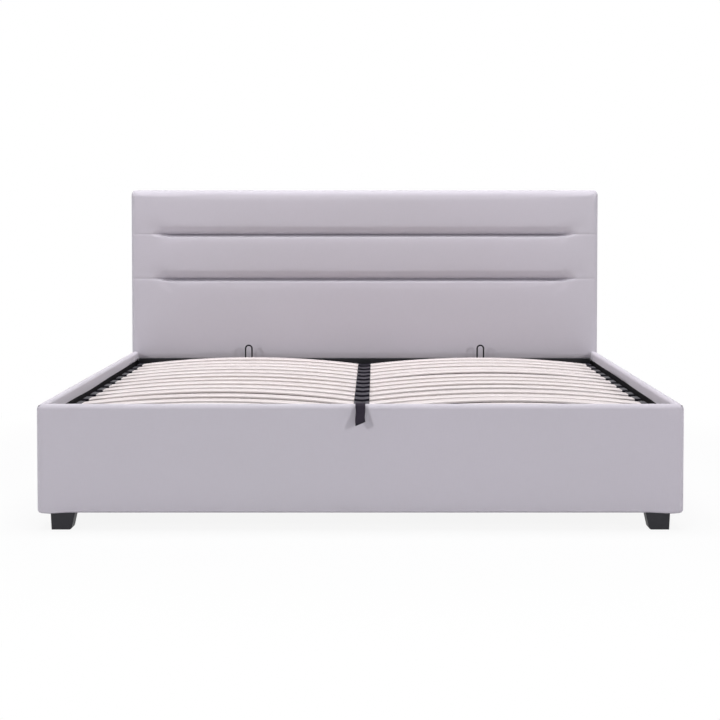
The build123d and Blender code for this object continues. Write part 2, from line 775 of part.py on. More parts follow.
# Pull strap: webbing held round the foot tube, led over the footboard and hanging in front of it
strap_over_z = rail_top + strap_clearance + strap_sheet / 2
strap_tube_z = side_tube_top + cross_tube + strap_sheet / 2
strap_back_y = lift_front_y + cross_tube + strap_sheet / 2
strap_end_z = rail_top - strap_end_drop
strap_end_y = foot_face_y - strap_proud + strap_sheet / 2
with BuildPart() as pull_strap:
    with BuildSketch(Plane.YZ.offset(-strap_width / 2)):
        with BuildLine():
            FilletPolyline(
                (strap_back_y, side_tube_top + strap_tail),
                (strap_back_y, strap_tube_z),
                (lift_front_y, strap_tube_z),
                (foot_board_back_y + strap_tail, strap_over_z),
                (foot_face_y - strap_stand, strap_over_z),
                (strap_end_y, strap_end_z),
                radius=[strap_fold, strap_bend, strap_bend, strap_turn],
            )
        trace(line_width=strap_sheet)
    extrude(amount=strap_width)
    with BuildSketch(Plane.XZ.offset(-foot_face_y)):
        with BuildLine():
            Polyline(
                (-strap_width / 2 - overrun, strap_end_z - overrun),
                (strap_width / 2 + overrun, strap_end_z - overrun),
                (strap_width / 2 + overrun, strap_end_z + strap_end_slant),
                (strap_width / 2, strap_end_z + strap_end_slant),
                (-strap_width / 2, strap_end_z),
                (-strap_width / 2 - overrun, strap_end_z),
                close=True,
            )
        make_face()
    extrude(amount=strap_proud + overrun, mode=Mode.SUBTRACT)
write(pull_strap.part, "pull_strap")

# Base plates: steel sheet on the rails that carries the hinge pin and the foot of the strut
with BuildPart() as base_plate:
    with BuildSketch(rail_face.offset(-sheet)):
        with Locations((hinge_y, hinge_z)):
            Circle(base_plate_top_lobe)
        with Locations((strut_foot_y, strut_foot_z)):
            Circle(base_plate_foot_lobe)
        with Locations(*hinge_places):
            Circle(base_plate_bolt_lobe)
        make_hull()
        with Locations(*hinge_places):
            Circle(hole_radius, mode=Mode.SUBTRACT)
    extrude(amount=sheet)
write_pair(base_plate.part, "hinge_base_plate")

# Lift plates: steel sheet on the side tubes, with one ear for the hinge and one for the strut
with BuildPart() as lift_plate:
    with BuildSketch(Plane.YZ.offset(side_tube_outer_x)):
        with Locations((hinge_y, hinge_z)):
            Circle(hinge_lobe)
        with Locations((hinge_y, side_tube_bottom + plate_edge)):
            Rectangle(2 * lobe_root, plate_edge)
        make_hull()
    with BuildSketch(Plane.YZ.offset(side_tube_outer_x)):
        with Locations((strut_head_y, hinge_z)):
            Circle(stud_lobe)
        with Locations((strut_head_y, side_tube_bottom + plate_edge)):
            Rectangle(2 * lobe_root, plate_edge)
        make_hull()
    with BuildSketch(Plane.YZ.offset(side_tube_outer_x)):
        with Locations(((hinge_y + strut_head_y) / 2, side_tube_top - plate_edge)):
            Rectangle(
                hinge_y - strut_head_y + 2 * lobe_root, side_tube_height - 2 * plate_edge,
                align=(Align.CENTER, Align.MAX),
            )
    extrude(amount=lift_sheet)
    with BuildSketch(Plane.YZ.offset(side_tube_outer_x)):
        with Locations((hinge_y, hinge_z)):
            Circle(hinge_pin_radius + pin_clearance)
    extrude(amount=lift_sheet, mode=Mode.SUBTRACT)
write_pair(lift_plate.part, "lift_plate")


def turned(centre_y, centre_z, steps):
    """Round piece on a crosswise axis, built up from steps of start x, end x and radius."""
    with BuildPart() as body:
        for start_x, end_x, radius in steps:
            with BuildSketch(Plane.YZ.offset(start_x)):
                with Locations((centre_y, centre_z)):
                    Circle(radius)
            extrude(amount=end_x - start_x)
    return body.part


def write_two(right, name):
    """Write a right-hand piece and its mirror image together, as one group of like pieces."""
    with BuildPart() as both:
        add(right)
        mirror(right, about=Plane.YZ)
    write(both.part, name)


# Hinge pins: a collar on the base plate, a journal for the lift plate and a head
plate_face_x = board_inner_x - sheet
lift_plate_x = side_tube_outer_x + lift_sheet + side_clearance
hinge_head_x = side_tube_outer_x - side_clearance
hinge_pin = turned(
    hinge_y,
    hinge_z,
    (
        (lift_plate_x, plate_face_x, hinge_collar_radius),
        (hinge_head_x, lift_plate_x, hinge_pin_radius),
        (hinge_head_x - hinge_head, hinge_head_x, hinge_head_radius),
    ),
)
write_two(hinge_pin, "hinge_pins")

# Strut pins: the same form, lower down on the base plate, through the strut's foot eye
eye_outer_x = strut_x + strut_eye_width / 2
eye_inner_x = strut_x - strut_eye_width / 2
strut_pin = turned(
    strut_foot_y,
    strut_foot_z,
    (
        (eye_outer_x + side_clearance, plate_face_x, strut_collar_radius),
        (eye_inner_x - side_clearance, eye_outer_x + side_clearance, strut_pin_radius),
        (eye_inner_x - side_clearance - hinge_head, eye_inner_x - side_clearance, strut_head_radius),
    ),
)
write_two(strut_pin, "strut_pins")

# Strut studs: on the lift plate's ear, where the strut's upper eye pushes
blade_outer_x = strut_x + blade_width / 2
blade_inner_x = strut_x - blade_width / 2
strut_stud = turned(
    strut_head_y,
    hinge_z,
    (
        (blade_outer_x + side_clearance, side_tube_outer_x, strut_collar_radius),
        (blade_inner_x - side_clearance, blade_outer_x + side_clearance, strut_pin_radius),
        (blade_inner_x - side_clearance - hinge_head, blade_inner_x - side_clearance, stud_head_radius),
    ),
)
write_two(strut_stud, "strut_studs")

# Gas struts: a cylinder with an eye at its foot, and a rod with a piston and a flat upper eye
strut_axis = Plane(origin=(strut_x, strut_foot_y, strut_foot_z), x_dir=(1, 0, 0), z_dir=strut_lean)
strut_body_end = strut_length - strut_rod_shown
chamber_start = strut_body_start + 2 * strut_wall
chamber_radius = strut_body_radius - strut_wall


def along_strut(distance):
    """The Y and Z of the point at this distance from the lower pin."""
    return strut_foot_y + distance * strut_lean[1], strut_foot_z + distance * strut_lean[2]


with BuildPart() as strut_cylinder:
    with BuildSketch(strut_axis.offset(strut_body_start)):
        Circle(strut_body_radius)
    extrude(amount=strut_body_end - strut_body_start)
    with BuildSketch(strut_axis.offset(chamber_start)):
        Circle(chamber_radius)
    extrude(amount=strut_body_end - strut_bush - chamber_start, mode=Mode.SUBTRACT)
    with BuildSketch(strut_axis.offset(strut_body_end - strut_bush - overrun)):
        Circle(rod_radius + rod_clearance)
    extrude(amount=strut_bush + 2 * overrun, mode=Mode.SUBTRACT)
    with BuildSketch(Plane.YZ.offset(eye_inner_x)):
        with Locations((strut_foot_y, strut_foot_z)):
            Circle(strut_eye_radius)
        with Locations(along_strut(chamber_start - strut_neck_radius)):
            Circle(strut_neck_radius)
        make_hull()
    extrude(amount=strut_eye_width)
    with BuildSketch(Plane.YZ.offset(eye_inner_x)):
        with Locations((strut_foot_y, strut_foot_z)):
            Circle(strut_pin_radius + pin_clearance)
    extrude(amount=strut_eye_width, mode=Mode.SUBTRACT)
write_pair(strut_cylinder.part, "strut_cylinder")

with BuildPart() as strut_rod:
    with BuildSketch(strut_axis.offset(piston_start)):
        Circle(rod_radius)
    extrude(amount=strut_length - stud_head_radius - blade_play - 2 * side_clearance - piston_start)
    with BuildSketch(strut_axis.offset(piston_start)):
        Circle(chamber_radius - rod_clearance)
    extrude(amount=piston_length)
    with BuildSketch(Plane.YZ.offset(blade_inner_x)):
        with Locations((strut_head_y, hinge_z)):
            Circle(blade_radius)
        with Locations(along_strut(strut_length - blade_neck)):
            Circle(rod_radius)
        make_hull()
    extrude(amount=blade_width)
    with BuildSketch(Plane.YZ.offset(blade_inner_x)):
        with Locations((strut_head_y, hinge_z)):
            Circle(strut_pin_radius + blade_play)
    extrude(amount=blade_width, mode=Mode.SUBTRACT)
write_pair(strut_rod.part, "strut_rod")

# Rest brackets: angles on the rails that the side tubes come down on
with BuildPart() as right_rests:
    for rest_y in rest_ys:
        with BuildSketch(Plane.XZ.offset(-rest_y - rest_length / 2)):
            with Locations((board_inner_x, rest_top)):
                Rectangle(sheet, rest_height, align=(Align.MAX, Align.MAX))
                Rectangle(rest_leg, sheet, align=(Align.MAX, Align.MAX))
        extrude(amount=rest_length)
    shelf_corners = right_rests.edges().filter_by(Axis.Z).group_by(Axis.X)[0]
    fillet(shelf_corners, rest_corner)
    with BuildSketch(rail_face):
        with Locations(*rest_places):
            Circle(hole_radius)
    extrude(amount=-sheet, mode=Mode.SUBTRACT)
with BuildPart() as rest_brackets:
    add(right_rests.part)
    mirror(right_rests.part, about=Plane.YZ)
write(rest_brackets.part, "rest_brackets")

# Rest pads: rubber blocks on those angles
with BuildPart() as rest_pads:
    with BuildSketch(Plane.XY.offset(rest_top)):
        for rest_y in rest_ys:
            for side in (-1, 1):
                with Locations((side * side_tube_x, rest_y)):
                    RectangleRounded(rest_pad_width, rest_pad_length, rest_corner / 2)
    extrude(amount=rest_pad)
write(rest_pads.part, "rest_pads")
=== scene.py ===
"""A king-size storage bed as it stands in a studio: boards, covers, headboard pad, lift and slats.

Everything is in metres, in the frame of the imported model: +Z up, the foot end towards -Y, the
headboard at +Y. Each section below is one piece or one group of like pieces, in the order in
which the bed is put together.
"""
import json
import math

import bmesh
import bpy
import numpy as np
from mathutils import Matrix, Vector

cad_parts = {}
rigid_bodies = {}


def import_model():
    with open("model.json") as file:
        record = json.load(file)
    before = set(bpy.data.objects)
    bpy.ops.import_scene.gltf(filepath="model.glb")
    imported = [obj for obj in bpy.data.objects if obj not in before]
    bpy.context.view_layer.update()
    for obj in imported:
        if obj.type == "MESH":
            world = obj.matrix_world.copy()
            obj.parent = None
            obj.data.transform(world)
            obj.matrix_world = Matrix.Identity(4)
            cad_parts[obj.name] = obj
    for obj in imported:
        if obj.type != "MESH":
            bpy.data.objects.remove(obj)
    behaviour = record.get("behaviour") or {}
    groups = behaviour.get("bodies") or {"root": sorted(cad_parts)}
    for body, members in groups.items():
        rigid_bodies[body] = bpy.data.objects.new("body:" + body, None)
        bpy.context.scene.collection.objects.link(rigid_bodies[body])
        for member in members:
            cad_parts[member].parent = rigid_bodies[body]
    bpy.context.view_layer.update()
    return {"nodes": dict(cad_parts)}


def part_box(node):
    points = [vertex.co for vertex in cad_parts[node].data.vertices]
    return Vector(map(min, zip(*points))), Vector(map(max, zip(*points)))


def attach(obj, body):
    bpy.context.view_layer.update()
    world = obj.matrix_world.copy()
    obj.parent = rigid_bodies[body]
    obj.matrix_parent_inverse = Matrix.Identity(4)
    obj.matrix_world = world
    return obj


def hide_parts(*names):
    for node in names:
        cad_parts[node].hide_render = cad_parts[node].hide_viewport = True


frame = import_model()
nodes = frame["nodes"]
for leftover in [item for item in bpy.data.objects if item.name in ("Cube", "Light", "Camera")]:
    bpy.data.objects.remove(leftover)


# Boards of the box: rails, footboard, headboard base and panel, cut from chipboard with a black
# facing. The facing is matt and has a faint pressed grain. It shows inside the storage bay, below
# the lip of the covers.
class Shade:
    """A shader socket that takes part in sums: each operator adds a Math node to its own tree."""

    def __init__(self, tree, socket=None):
        self.tree = tree
        self.socket = socket

    def node(self, kind, settings, sockets, output=0):
        """Add a node: its settings first, then the value or the link of each socket."""
        made = self.tree.nodes.new(kind)
        for name, value in settings.items():
            setattr(made, name, value)
        for name, value in sockets.items():
            if isinstance(value, Shade):
                self.tree.links.new(value.socket, made.inputs[name])
            else:
                made.inputs[name].default_value = value
        return Shade(self.tree, made.outputs[output])

    def math(self, operation, first, second=0.0):
        """One Math node, on one value or on two."""
        return self.node("ShaderNodeMath", {"operation": operation}, {0: first, 1: second})

    def __add__(self, other):
        return self.math("ADD", self, other)

    def __radd__(self, other):
        return self.math("ADD", other, self)

    def __sub__(self, other):
        return self.math("SUBTRACT", self, other)

    def __rsub__(self, other):
        return self.math("SUBTRACT", other, self)

    def __mul__(self, other):
        return self.math("MULTIPLY", self, other)

    def __rmul__(self, other):
        return self.math("MULTIPLY", other, self)

    def stretched(self, x, y, z):
        """This vector with each of its three parts multiplied by its own number."""
        return self.node("ShaderNodeVectorMath", {"operation": "MULTIPLY"}, {0: self, 1: (x, y, z)})

    def part(self, axis):
        """One part of this vector: 0 for x, 1 for y, 2 for z."""
        return self.node("ShaderNodeSeparateXYZ", {}, {0: self}, axis)

    def noise(self, scale, detail=2.0):
        """Soft noise from 0 to 1 at this place, with so many bumps to the metre."""
        return self.node("ShaderNodeTexNoise", {}, {"Vector": self, "Scale": scale, "Detail": detail})

    def between(self, low, high):
        """0 below low, 1 above high, and a smooth step between."""
        settings = {"interpolation_type": "SMOOTHSTEP"}
        return self.node("ShaderNodeMapRange", settings, {"Value": self, "From Min": low, "From Max": high})

    def mix(self, low, high):
        """The colour that goes from low to high as this value goes from 0 to 1."""
        return self.node("ShaderNodeMix", {"data_type": "RGBA"}, {0: self, 6: low, 7: high}, 2)

    def bump(self, distance, strength=1.0):
        """The normal of a surface raised by this value times the distance."""
        return self.node("ShaderNodeBump", {}, {"Height": self, "Distance": distance, "Strength": strength})

    def into(self, shader, name):
        """Link this value to a socket of the material's shader."""
        self.tree.links.new(self.socket, shader.inputs[name])


def new_finish(name, constants):
    """A material with one Principled shader: the material, that shader and the object's coordinates."""
    material = bpy.data.materials.new(name)
    material.use_nodes = True
    shader = material.node_tree.nodes["Principled BSDF"]
    for socket, value in constants.items():
        shader.inputs[socket].default_value = value
    return material, shader, Shade(material.node_tree).node("ShaderNodeTexCoord", {}, {}, "Object")


def finish_nodes(material, *names):
    """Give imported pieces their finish."""
    for name in names:
        nodes[name].data.materials.clear()
        nodes[name].data.materials.append(material)


def faced_board():
    """Noise drawn out along the bed gives grain and tint, and slow noise varies the gloss."""
    material, shader, place = new_finish("faced_board", {"Specular IOR Level": 0.08})
    grain = place.stretched(60.0, 3.0, 60.0).noise(8.0, 4.0)
    cloud = place.noise(3.0)
    grain.mix((0.004, 0.0035, 0.0045, 1.0), (0.009, 0.008, 0.010, 1.0)).into(shader, "Base Color")
    (0.62 + 0.15 * cloud).into(shader, "Roughness")
    grain.bump(0.0002).into(shader, "Normal")
    return material


finish_nodes(
    faced_board(), "side_rail_left", "side_rail_right", "footboard", "headboard_panel", "headboard_base"
)


# Feet and centre legs: moulded black plastic with the fine etched texture of the mould. The feet
# are pushed on under the corner brackets, the legs stand under the centre beam, and plugs of the
# same plastic close the ends of the lift's tubes.
def moulded_plastic():
    """Very fine noise gives the etch, and coarser noise the wear in tint and gloss."""
    material, shader, place = new_finish("moulded_plastic", {"Specular IOR Level": 0.22})
    etch = place.noise(1800.0, 3.0)
    wear = place.noise(25.0, 5.0)
    wear.mix((0.019, 0.019, 0.022, 1.0), (0.028, 0.028, 0.033, 1.0)).into(shader, "Base Color")
    (0.42 + 0.16 * wear).into(shader, "Roughness")
    etch.bump(0.00012).into(shader, "Normal")
    return material


finish_nodes(
    moulded_plastic(), "foot_front_left", "foot_front_right", "foot_rear_left", "foot_rear_right",
    "centre_legs", "tube_plugs",
)


# Zinc fittings: corner brackets pressed from steel sheet, the flanged bolts, and the pins of the
# lift. Bright zinc has a faint warm and cool bloom and fine drawing lines.
def bright_zinc():
    """Soft noise gives the bloom, and noise pressed flat in height the drawing lines."""
    material, shader, place = new_finish("bright_zinc", {"Metallic": 1.0})
    bloom = place.noise(30.0, 3.0)
    lines = place.stretched(40.0, 40.0, 900.0).noise(4.0, 2.0)
    bloom.mix((0.50, 0.51, 0.53, 1.0), (0.66, 0.64, 0.58, 1.0)).into(shader, "Base Color")
    (0.30 + 0.22 * bloom + 0.08 * lines).into(shader, "Roughness")
    lines.bump(0.00005).into(shader, "Normal")
    return material


zinc = bright_zinc()
finish_nodes(zinc, "corner_brackets", "frame_bolts", "hinge_pins", "strut_pins", "strut_studs")


# Floor timbers: ledgers and centre beam of planed softwood, glued and stapled to the boards. The
# wood is bare, with long rings and a knot here and there.
def planed_softwood():
    """Bent rings round the length give pale and dark wood, and noise drawn out along it the fibre."""
    material, shader, place = new_finish("planed_softwood", {"Specular IOR Level": 0.3})
    along = place.stretched(9.0, 0.7, 9.0)
    rings = along.node("ShaderNodeTexWave", {"wave_type": "RINGS", "rings_direction": "Y"},
                       {"Vector": along, "Scale": 5.0, "Distortion": 4.0, "Detail": 3.0}, 1)
    fibre = place.stretched(400.0, 8.0, 400.0).noise(2.0, 3.0)
    colour = rings.mix((0.60, 0.42, 0.24, 1.0), (0.44, 0.27, 0.13, 1.0))
    (fibre * 0.25).mix(colour, (0.32, 0.19, 0.09, 1.0)).into(shader, "Base Color")
    (0.55 + 0.2 * fibre).into(shader, "Roughness")
    fibre.bump(0.0002).into(shader, "Normal")
    return material


finish_nodes(planed_softwood(), "floor_ledgers", "centre_beam")


# Storage floor: two panels of bare hardboard laid on the ledgers. Pressed fibres give it a brown,
# slightly mottled face.
def bare_hardboard():
    """Fine noise gives the fibres, and slow noise the mottle over them."""
    material, shader, place = new_finish("bare_hardboard", {"Specular IOR Level": 0.3})
    fibre = place.noise(260.0, 6.0)
    cloud = place.noise(6.0, 3.0)
    colour = fibre.mix((0.20, 0.115, 0.06, 1.0), (0.36, 0.23, 0.13, 1.0))
    (cloud * 0.4).mix(colour, (0.26, 0.155, 0.085, 1.0)).into(shader, "Base Color")
    (0.45 + 0.25 * fibre).into(shader, "Roughness")
    fibre.bump(0.0002).into(shader, "Normal")
    return material


finish_nodes(bare_hardboard(), "storage_floor_1", "storage_floor_2")


# Footboard cover: light grey cloth over thin foam, drawn round the board's front, ends and top,
# lapped down inside as a lip and turned under at the hem, where it is stapled.
def woven_cloth():
    """Fine plain weave in the cloth's own metres: the bump is the product of two sines, one along
    the warp and one along the weft, and uneven yarns vary the colour along both."""
    material, shader, place = new_finish(
        "woven_cloth", {"Specular IOR Level": 0.15, "Sheen Weight": 0.12, "Sheen Roughness": 0.45}
    )
    cloth = place.node("ShaderNodeUVMap", {"uv_map": "cloth"}, {})
    yarn_pitch = 0.0016
    warp = place.math("SINE", cloth.part(0) * (2.0 * math.pi / yarn_pitch))
    weft = place.math("SINE", cloth.part(1) * (2.0 * math.pi / yarn_pitch))
    slub_up = cloth.stretched(700.0, 30.0, 1.0).noise(1.0, 2.0)
    slub_across = cloth.stretched(30.0, 700.0, 1.0).noise(1.0, 2.0)
    slub = (slub_up + slub_across) * 0.5
    cloud = place.noise(1.3, 1.0)
    drift = cloud.mix((0.530, 0.508, 0.556, 1.0), (0.550, 0.512, 0.580, 1.0))
    (slub.between(0.25, 0.75) * 0.22).mix(drift, (0.45, 0.425, 0.475, 1.0)).into(shader, "Base Color")
    (0.82 + 0.1 * slub).into(shader, "Roughness")
    (warp * weft * 0.5 + slub).bump(0.00016, 0.8).into(shader, "Normal")
    return material


def joined(*parts):
    """Arrays brought to one shape and joined along a new last axis, such as x, y and z."""
    return np.stack(np.broadcast_arrays(*parts), -1)


def band_faces(first, second):
    """The four corners of each cell between rings of points and the rings that follow them."""
    cells = joined(first, np.roll(first, -1, -1), np.roll(second, -1, -1), second)
    return cells.reshape(-1, 4).tolist()


def tube_faces(rows, columns, start=0):
    """The cells of a tube of points, ring by ring, then its first ring and its last as its ends."""
    rings = start + np.arange(rows * columns).reshape(rows, columns)
    return band_faces(rings[:-1], rings[1:]) + rings[[0, -1]].tolist()


def make_mesh(name, points, faces, material, uv=None, crease=50.0):
    """A mesh from arrays: doubles merged, faces turned outwards, smooth up to the crease angle."""
    mesh = bpy.data.meshes.new(name)
    mesh.from_pydata(points.reshape(-1, 3).tolist(), [], faces)
    if uv is not None:
        layer = mesh.uv_layers.new(name="cloth")
        corner = np.empty(len(mesh.loops), np.int32)
        mesh.loops.foreach_get("vertex_index", corner)
        layer.data.foreach_set("uv", uv.reshape(-1, 2)[corner].ravel())
    shell = bmesh.new()
    shell.from_mesh(mesh)
    bmesh.ops.remove_doubles(shell, verts=shell.verts, dist=1e-6)
    bmesh.ops.recalc_face_normals(shell, faces=shell.faces)
    shell.to_mesh(mesh)
    shell.free()
    mesh.polygons.foreach_set("use_smooth", np.ones(len(mesh.polygons), bool))
    mesh.set_sharp_from_angle(angle=math.radians(crease))
    mesh.materials.append(material)
    return mesh


def add_object(name, data):
    """An object with this data, put into the scene."""
    made = bpy.data.objects.new(name, data)
    bpy.context.scene.collection.objects.link(made)
    return made


def add_piece(name, mesh, body):
    """A piece of the bed: an object with a finished mesh, attached to its body."""
    piece = add_object(name, mesh)
    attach(piece, body)
    return piece


def make_piece(name, points, faces, material, body, uv=None, crease=50.0):
    """A piece straight from its arrays."""
    return add_piece(name, make_mesh(name, points, faces, material, uv, crease), body)


def distance_along(line):
    """How far each point of a line lies from its first, measured along the line."""
    return np.cumsum(np.r_[0.0, np.linalg.norm(np.diff(line, axis=0), axis=1)])


def straight(first, last, step):
    """Points from one place towards another, which is left out, no further apart than the step."""
    count = max(int(math.ceil(np.linalg.norm(np.subtract(last, first)) / step)), 1)
    return np.linspace(first, last, count, endpoint=False)


def quarter(centre, radius, start, turns):
    """Points on a quarter circle that starts at an angle in degrees and turns against the clock."""
    angle = np.radians(start + np.linspace(0.0, 90.0, turns + 1))
    return joined(centre[0] + radius * np.cos(angle), centre[1] + radius * np.sin(angle))


cover_low, cover_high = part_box("footboard_cover")
board_low, board_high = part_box("footboard")
cover_depth = cover_high.y - cover_low.y
lip_drop, corner_round = 0.033, 0.016


def cover_section():
    """Section of a cover in inward distance and height: up the lip, over the top, down the face,
    round the hem, and back up against the board. The last value is 1 on the skin that shows."""
    outer, inner, hem, foam, gap, step = 0.015, 0.0085, 0.010, 0.006, 0.0002, 0.011
    depth, bottom, top, board_back = cover_depth, cover_low.z, cover_high.z, board_high.y - cover_low.y
    skin = np.concatenate((
        straight((depth, top - lip_drop), (depth, top - inner), step),
        quarter((depth - inner, top - inner), inner, 0.0, 6)[:-1],
        straight((depth - inner, top), (outer, top), step),
        quarter((outer, top - outer), outer, 90.0, 9)[:-1],
        straight((0.0, top - outer), (0.0, bottom + hem), step),
        quarter((hem, bottom + hem), hem, 180.0, 6)[:-1],
        straight((hem, bottom), (board_back, bottom), step),
        [(board_back, bottom)],
    ))
    back = np.array((
        (board_back, board_low.z - gap),
        (foam - gap, board_low.z - gap),
        (foam - gap, board_high.z + gap),
        (board_back + gap, board_high.z + gap),
        (board_back + gap, top - lip_drop),
    ))
    return np.concatenate((skin, back)), np.arange(len(skin) + len(back)) < len(skin)


def cloth_waves(along, height, bottom, top):
    """How far a stretched cover stands off its plane: a faint crown of the foam and slow waves
    along the board, less a tuck at the stapled hem, where small gathers die out upwards."""
    crown_most, gather_most, tuck_most, hem_reach = 0.0012, 0.00045, 0.0024, 0.022
    share = np.clip((height - bottom) / (top - bottom), 0.0, 1.0)
    crown = crown_most * (1.0 - (2.0 * share - 1.0) ** 4)
    slow = 0.00035 * np.sin(7.3 * along + 4.0 * height) + 0.0003 * np.sin(3.1 * along - 9.0 * height + 1.0)
    near_hem = np.exp(-((height - bottom) / hem_reach) ** 2)
    gather = np.sin(96.0 * along + 2.0 * np.sin(11.0 * along)) * near_hem
    return crown + slow * np.sin(math.pi * share) + gather_most * gather - tuck_most * near_hem


cloth = woven_cloth()
section, shows = cover_section()


def footboard_skin():
    """The section is carried round the front: left end, corner, front, corner, right end. A point
    that lies d inside the skin keeps its distance, so the corner it turns has radius 16 mm - d."""
    end_rows, corner_rows, front_rows = 4, 8, 170
    inward, height = section[:, 0], section[:, 1]
    turn = np.maximum(corner_round - inward, 0.0)
    inset = np.maximum(inward, corner_round)
    corner_y = np.minimum(cover_low.y + inset, board_high.y)
    half = cover_high.x - corner_round
    share = np.linspace(0.0, 1.0, end_rows)[:-1, None]
    angle = np.radians(np.linspace(180.0, 270.0, corner_rows))[:, None]
    across = np.linspace(-half, half, front_rows)[1:-1, None]
    stretches = (
        (cover_low.x + inward, board_high.y + share * (corner_y - board_high.y)),
        (cover_low.x + inset + turn * np.cos(angle), cover_low.y + inset + turn * np.sin(angle)),
        (across * (cover_high.x - inset) / half, cover_low.y + inward),
    )
    end, bend, front = [joined(x, y, height[None]) for x, y in stretches]
    left = np.concatenate((end, bend))
    return np.concatenate((left, front, left[::-1] * (-1.0, 1.0, 1.0)))


points = footboard_skin()
face_column = 20
travel, girth = distance_along(points[:, face_column]), distance_along(section)
uv = joined(travel[:, None], girth)
face = shows & (section[:, 0] < 0.001)

# The waves die out over the last 30 mm at each end, and the hem hangs 3.5 mm lower by each foot.
end_fade, droop_most, foot_x, droop_wide, droop_high = 0.03, 0.0035, 0.905, 0.035, 0.03
stand_off = np.where(face, cloth_waves(points[..., 0], points[..., 2], cover_low.z, cover_high.z), 0.0)
near_end = np.clip((np.abs(points[..., 0]) - (cover_high.x - end_fade)) / end_fade, 0.0, 1.0)
points[..., 1] -= stand_off * (1.0 - near_end)
near_foot = np.exp(-((np.abs(points[..., 0]) - foot_x) / droop_wide) ** 2)
near_hem = np.exp(-((points[..., 2] - cover_low.z) / droop_high) ** 2)
points[..., 2] -= droop_most * near_foot * shows * near_hem
faces = tube_faces(*points.shape[:2])
footboard_cover = make_piece("footboard_cloth", points, faces, cloth, "bed_frame", uv)
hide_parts("footboard_cover")


# Side rail covers: the same cloth and foam on each rail, with the same lip and hem. Their ends
# are drawn in a little where they butt against the footboard and the headboard.
rail_low, rail_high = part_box("side_rail_cover_right")


def rail_skin(side):
    """The section is carried straight along the rail; the last 4 mm at each end bend in by 1.2 mm,
    and the cut edge of the lip inside wanders by 2 or 3 mm."""
    bend_length, bend_in, bend_rows, rail_rows = 0.004, 0.0012, 4, 190
    inward, height = section[:, 0], section[:, 1]
    bend = bend_length * (1.0 - np.cos(np.linspace(0.0, math.pi / 2, bend_rows)))
    along = np.concatenate((
        rail_low.y + bend[:-1],
        np.linspace(rail_low.y + bend_length, rail_high.y - bend_length, rail_rows),
        rail_high.y - bend[-2::-1],
    ))
    end = np.clip(np.minimum(along - rail_low.y, rail_high.y - along) / bend_length, 0.0, 1.0)
    drawn = bend_in * (1.0 - np.sqrt(1.0 - (1.0 - end) ** 2))[:, None] * shows
    waves = cloth_waves(along[:, None] * 1.1 + 2.0 * side, height, rail_low.z, rail_high.z)
    near_face, near_top, lip_start = 0.014, 0.012, 0.016
    depth = inward + drawn * (inward < near_face) - waves * face * end[:, None]
    slack = 0.0022 * np.sin(2.6 * along + side) + 0.001 * np.sin(8.0 * along)
    down_lip = np.clip((rail_high.z - lip_start - height) / (lip_drop - lip_start), 0.0, 1.0)
    low_lip = (inward > cover_depth - 0.001) * down_lip
    z = height - drawn * (height > rail_high.z - near_top) + slack[:, None] * low_lip
    return joined(side * (rail_high.x - depth), along[:, None], z), along


for side, side_name in ((-1, "left"), (1, "right")):
    points, along = rail_skin(side)
    uv = joined(along[:, None], girth)
    faces = tube_faces(*points.shape[:2])
    name = f"side_rail_cloth_{side_name}"
    rail_cover = make_piece(name, points, faces, cloth, "bed_frame", uv)
    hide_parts(f"side_rail_cover_{side_name}")


# Headboard pad: foam on the panel under the same cloth, drawn in hard along two sewn channels
# that run out short of the sides. The cloth is pulled round the edges and stapled at the back.
pad_low, pad_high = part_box("headboard_pad")
panel_low, panel_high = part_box("headboard_panel")
base_low, base_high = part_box("headboard_base")
pad_bottom, clearance = base_high.z, 0.0002
side_round, top_round, low_round = 0.015, 0.022, 0.012
channel_heights = (pad_high.z - 0.183, pad_high.z - 0.364)
channel_deep, channel_above, channel_below = 0.034, 0.036, 0.010
channel_half, channel_fade, channel_lift = pad_high.x - 0.134, 0.053, 0.004
crease_deep, crease_more, crease_wide = 0.0018, 0.0008, 0.003
roll_crown, crown_fade, skin_inside, travel_cap = 0.0022, 0.12, 0.003, 0.0018
roll_step, roll_columns, edge_turns, below_turns, above_turns = 0.011, 171, 7, 6, 9
sewn_past, lip_rise, side_band = 0.02, 0.001, 0.002


def turned(turns):
    """From 1 down to 0 in steps of equal turn round a quarter circle: 1 less the sine of the turn."""
    return 1.0 - np.sin(np.linspace(0.0, math.pi / 2, turns + 1))


def pad_rows():
    """Heights of the rows: even steps on the rolls, and steps of equal turn round each bend."""
    heights = [pad_bottom + low_round * turned(edge_turns)[::-1]]
    start = pad_bottom + low_round
    for seam in reversed(channel_heights):
        end = seam - channel_below
        heights.append(np.linspace(start, end, int((end - start) / roll_step))[1:-1])
        heights.append(seam - channel_below * turned(below_turns))
        heights.append(seam + channel_above * turned(above_turns)[-2::-1])
        start = seam + channel_above
    end = pad_high.z - top_round
    heights.append(np.linspace(start, end, int((end - start) / roll_step))[1:-1])
    heights.append(pad_high.z - top_round * turned(edge_turns))
    return np.concatenate(heights)


def pad_columns():
    """Places of the columns across: steps of equal turn round the sides and even steps between."""
    left = -pad_high.x + side_round * turned(edge_turns)[::-1]
    middle = np.linspace(-pad_high.x + side_round, pad_high.x - side_round, roll_columns)[1:-1]
    return np.concatenate((left, middle, -left[::-1]))


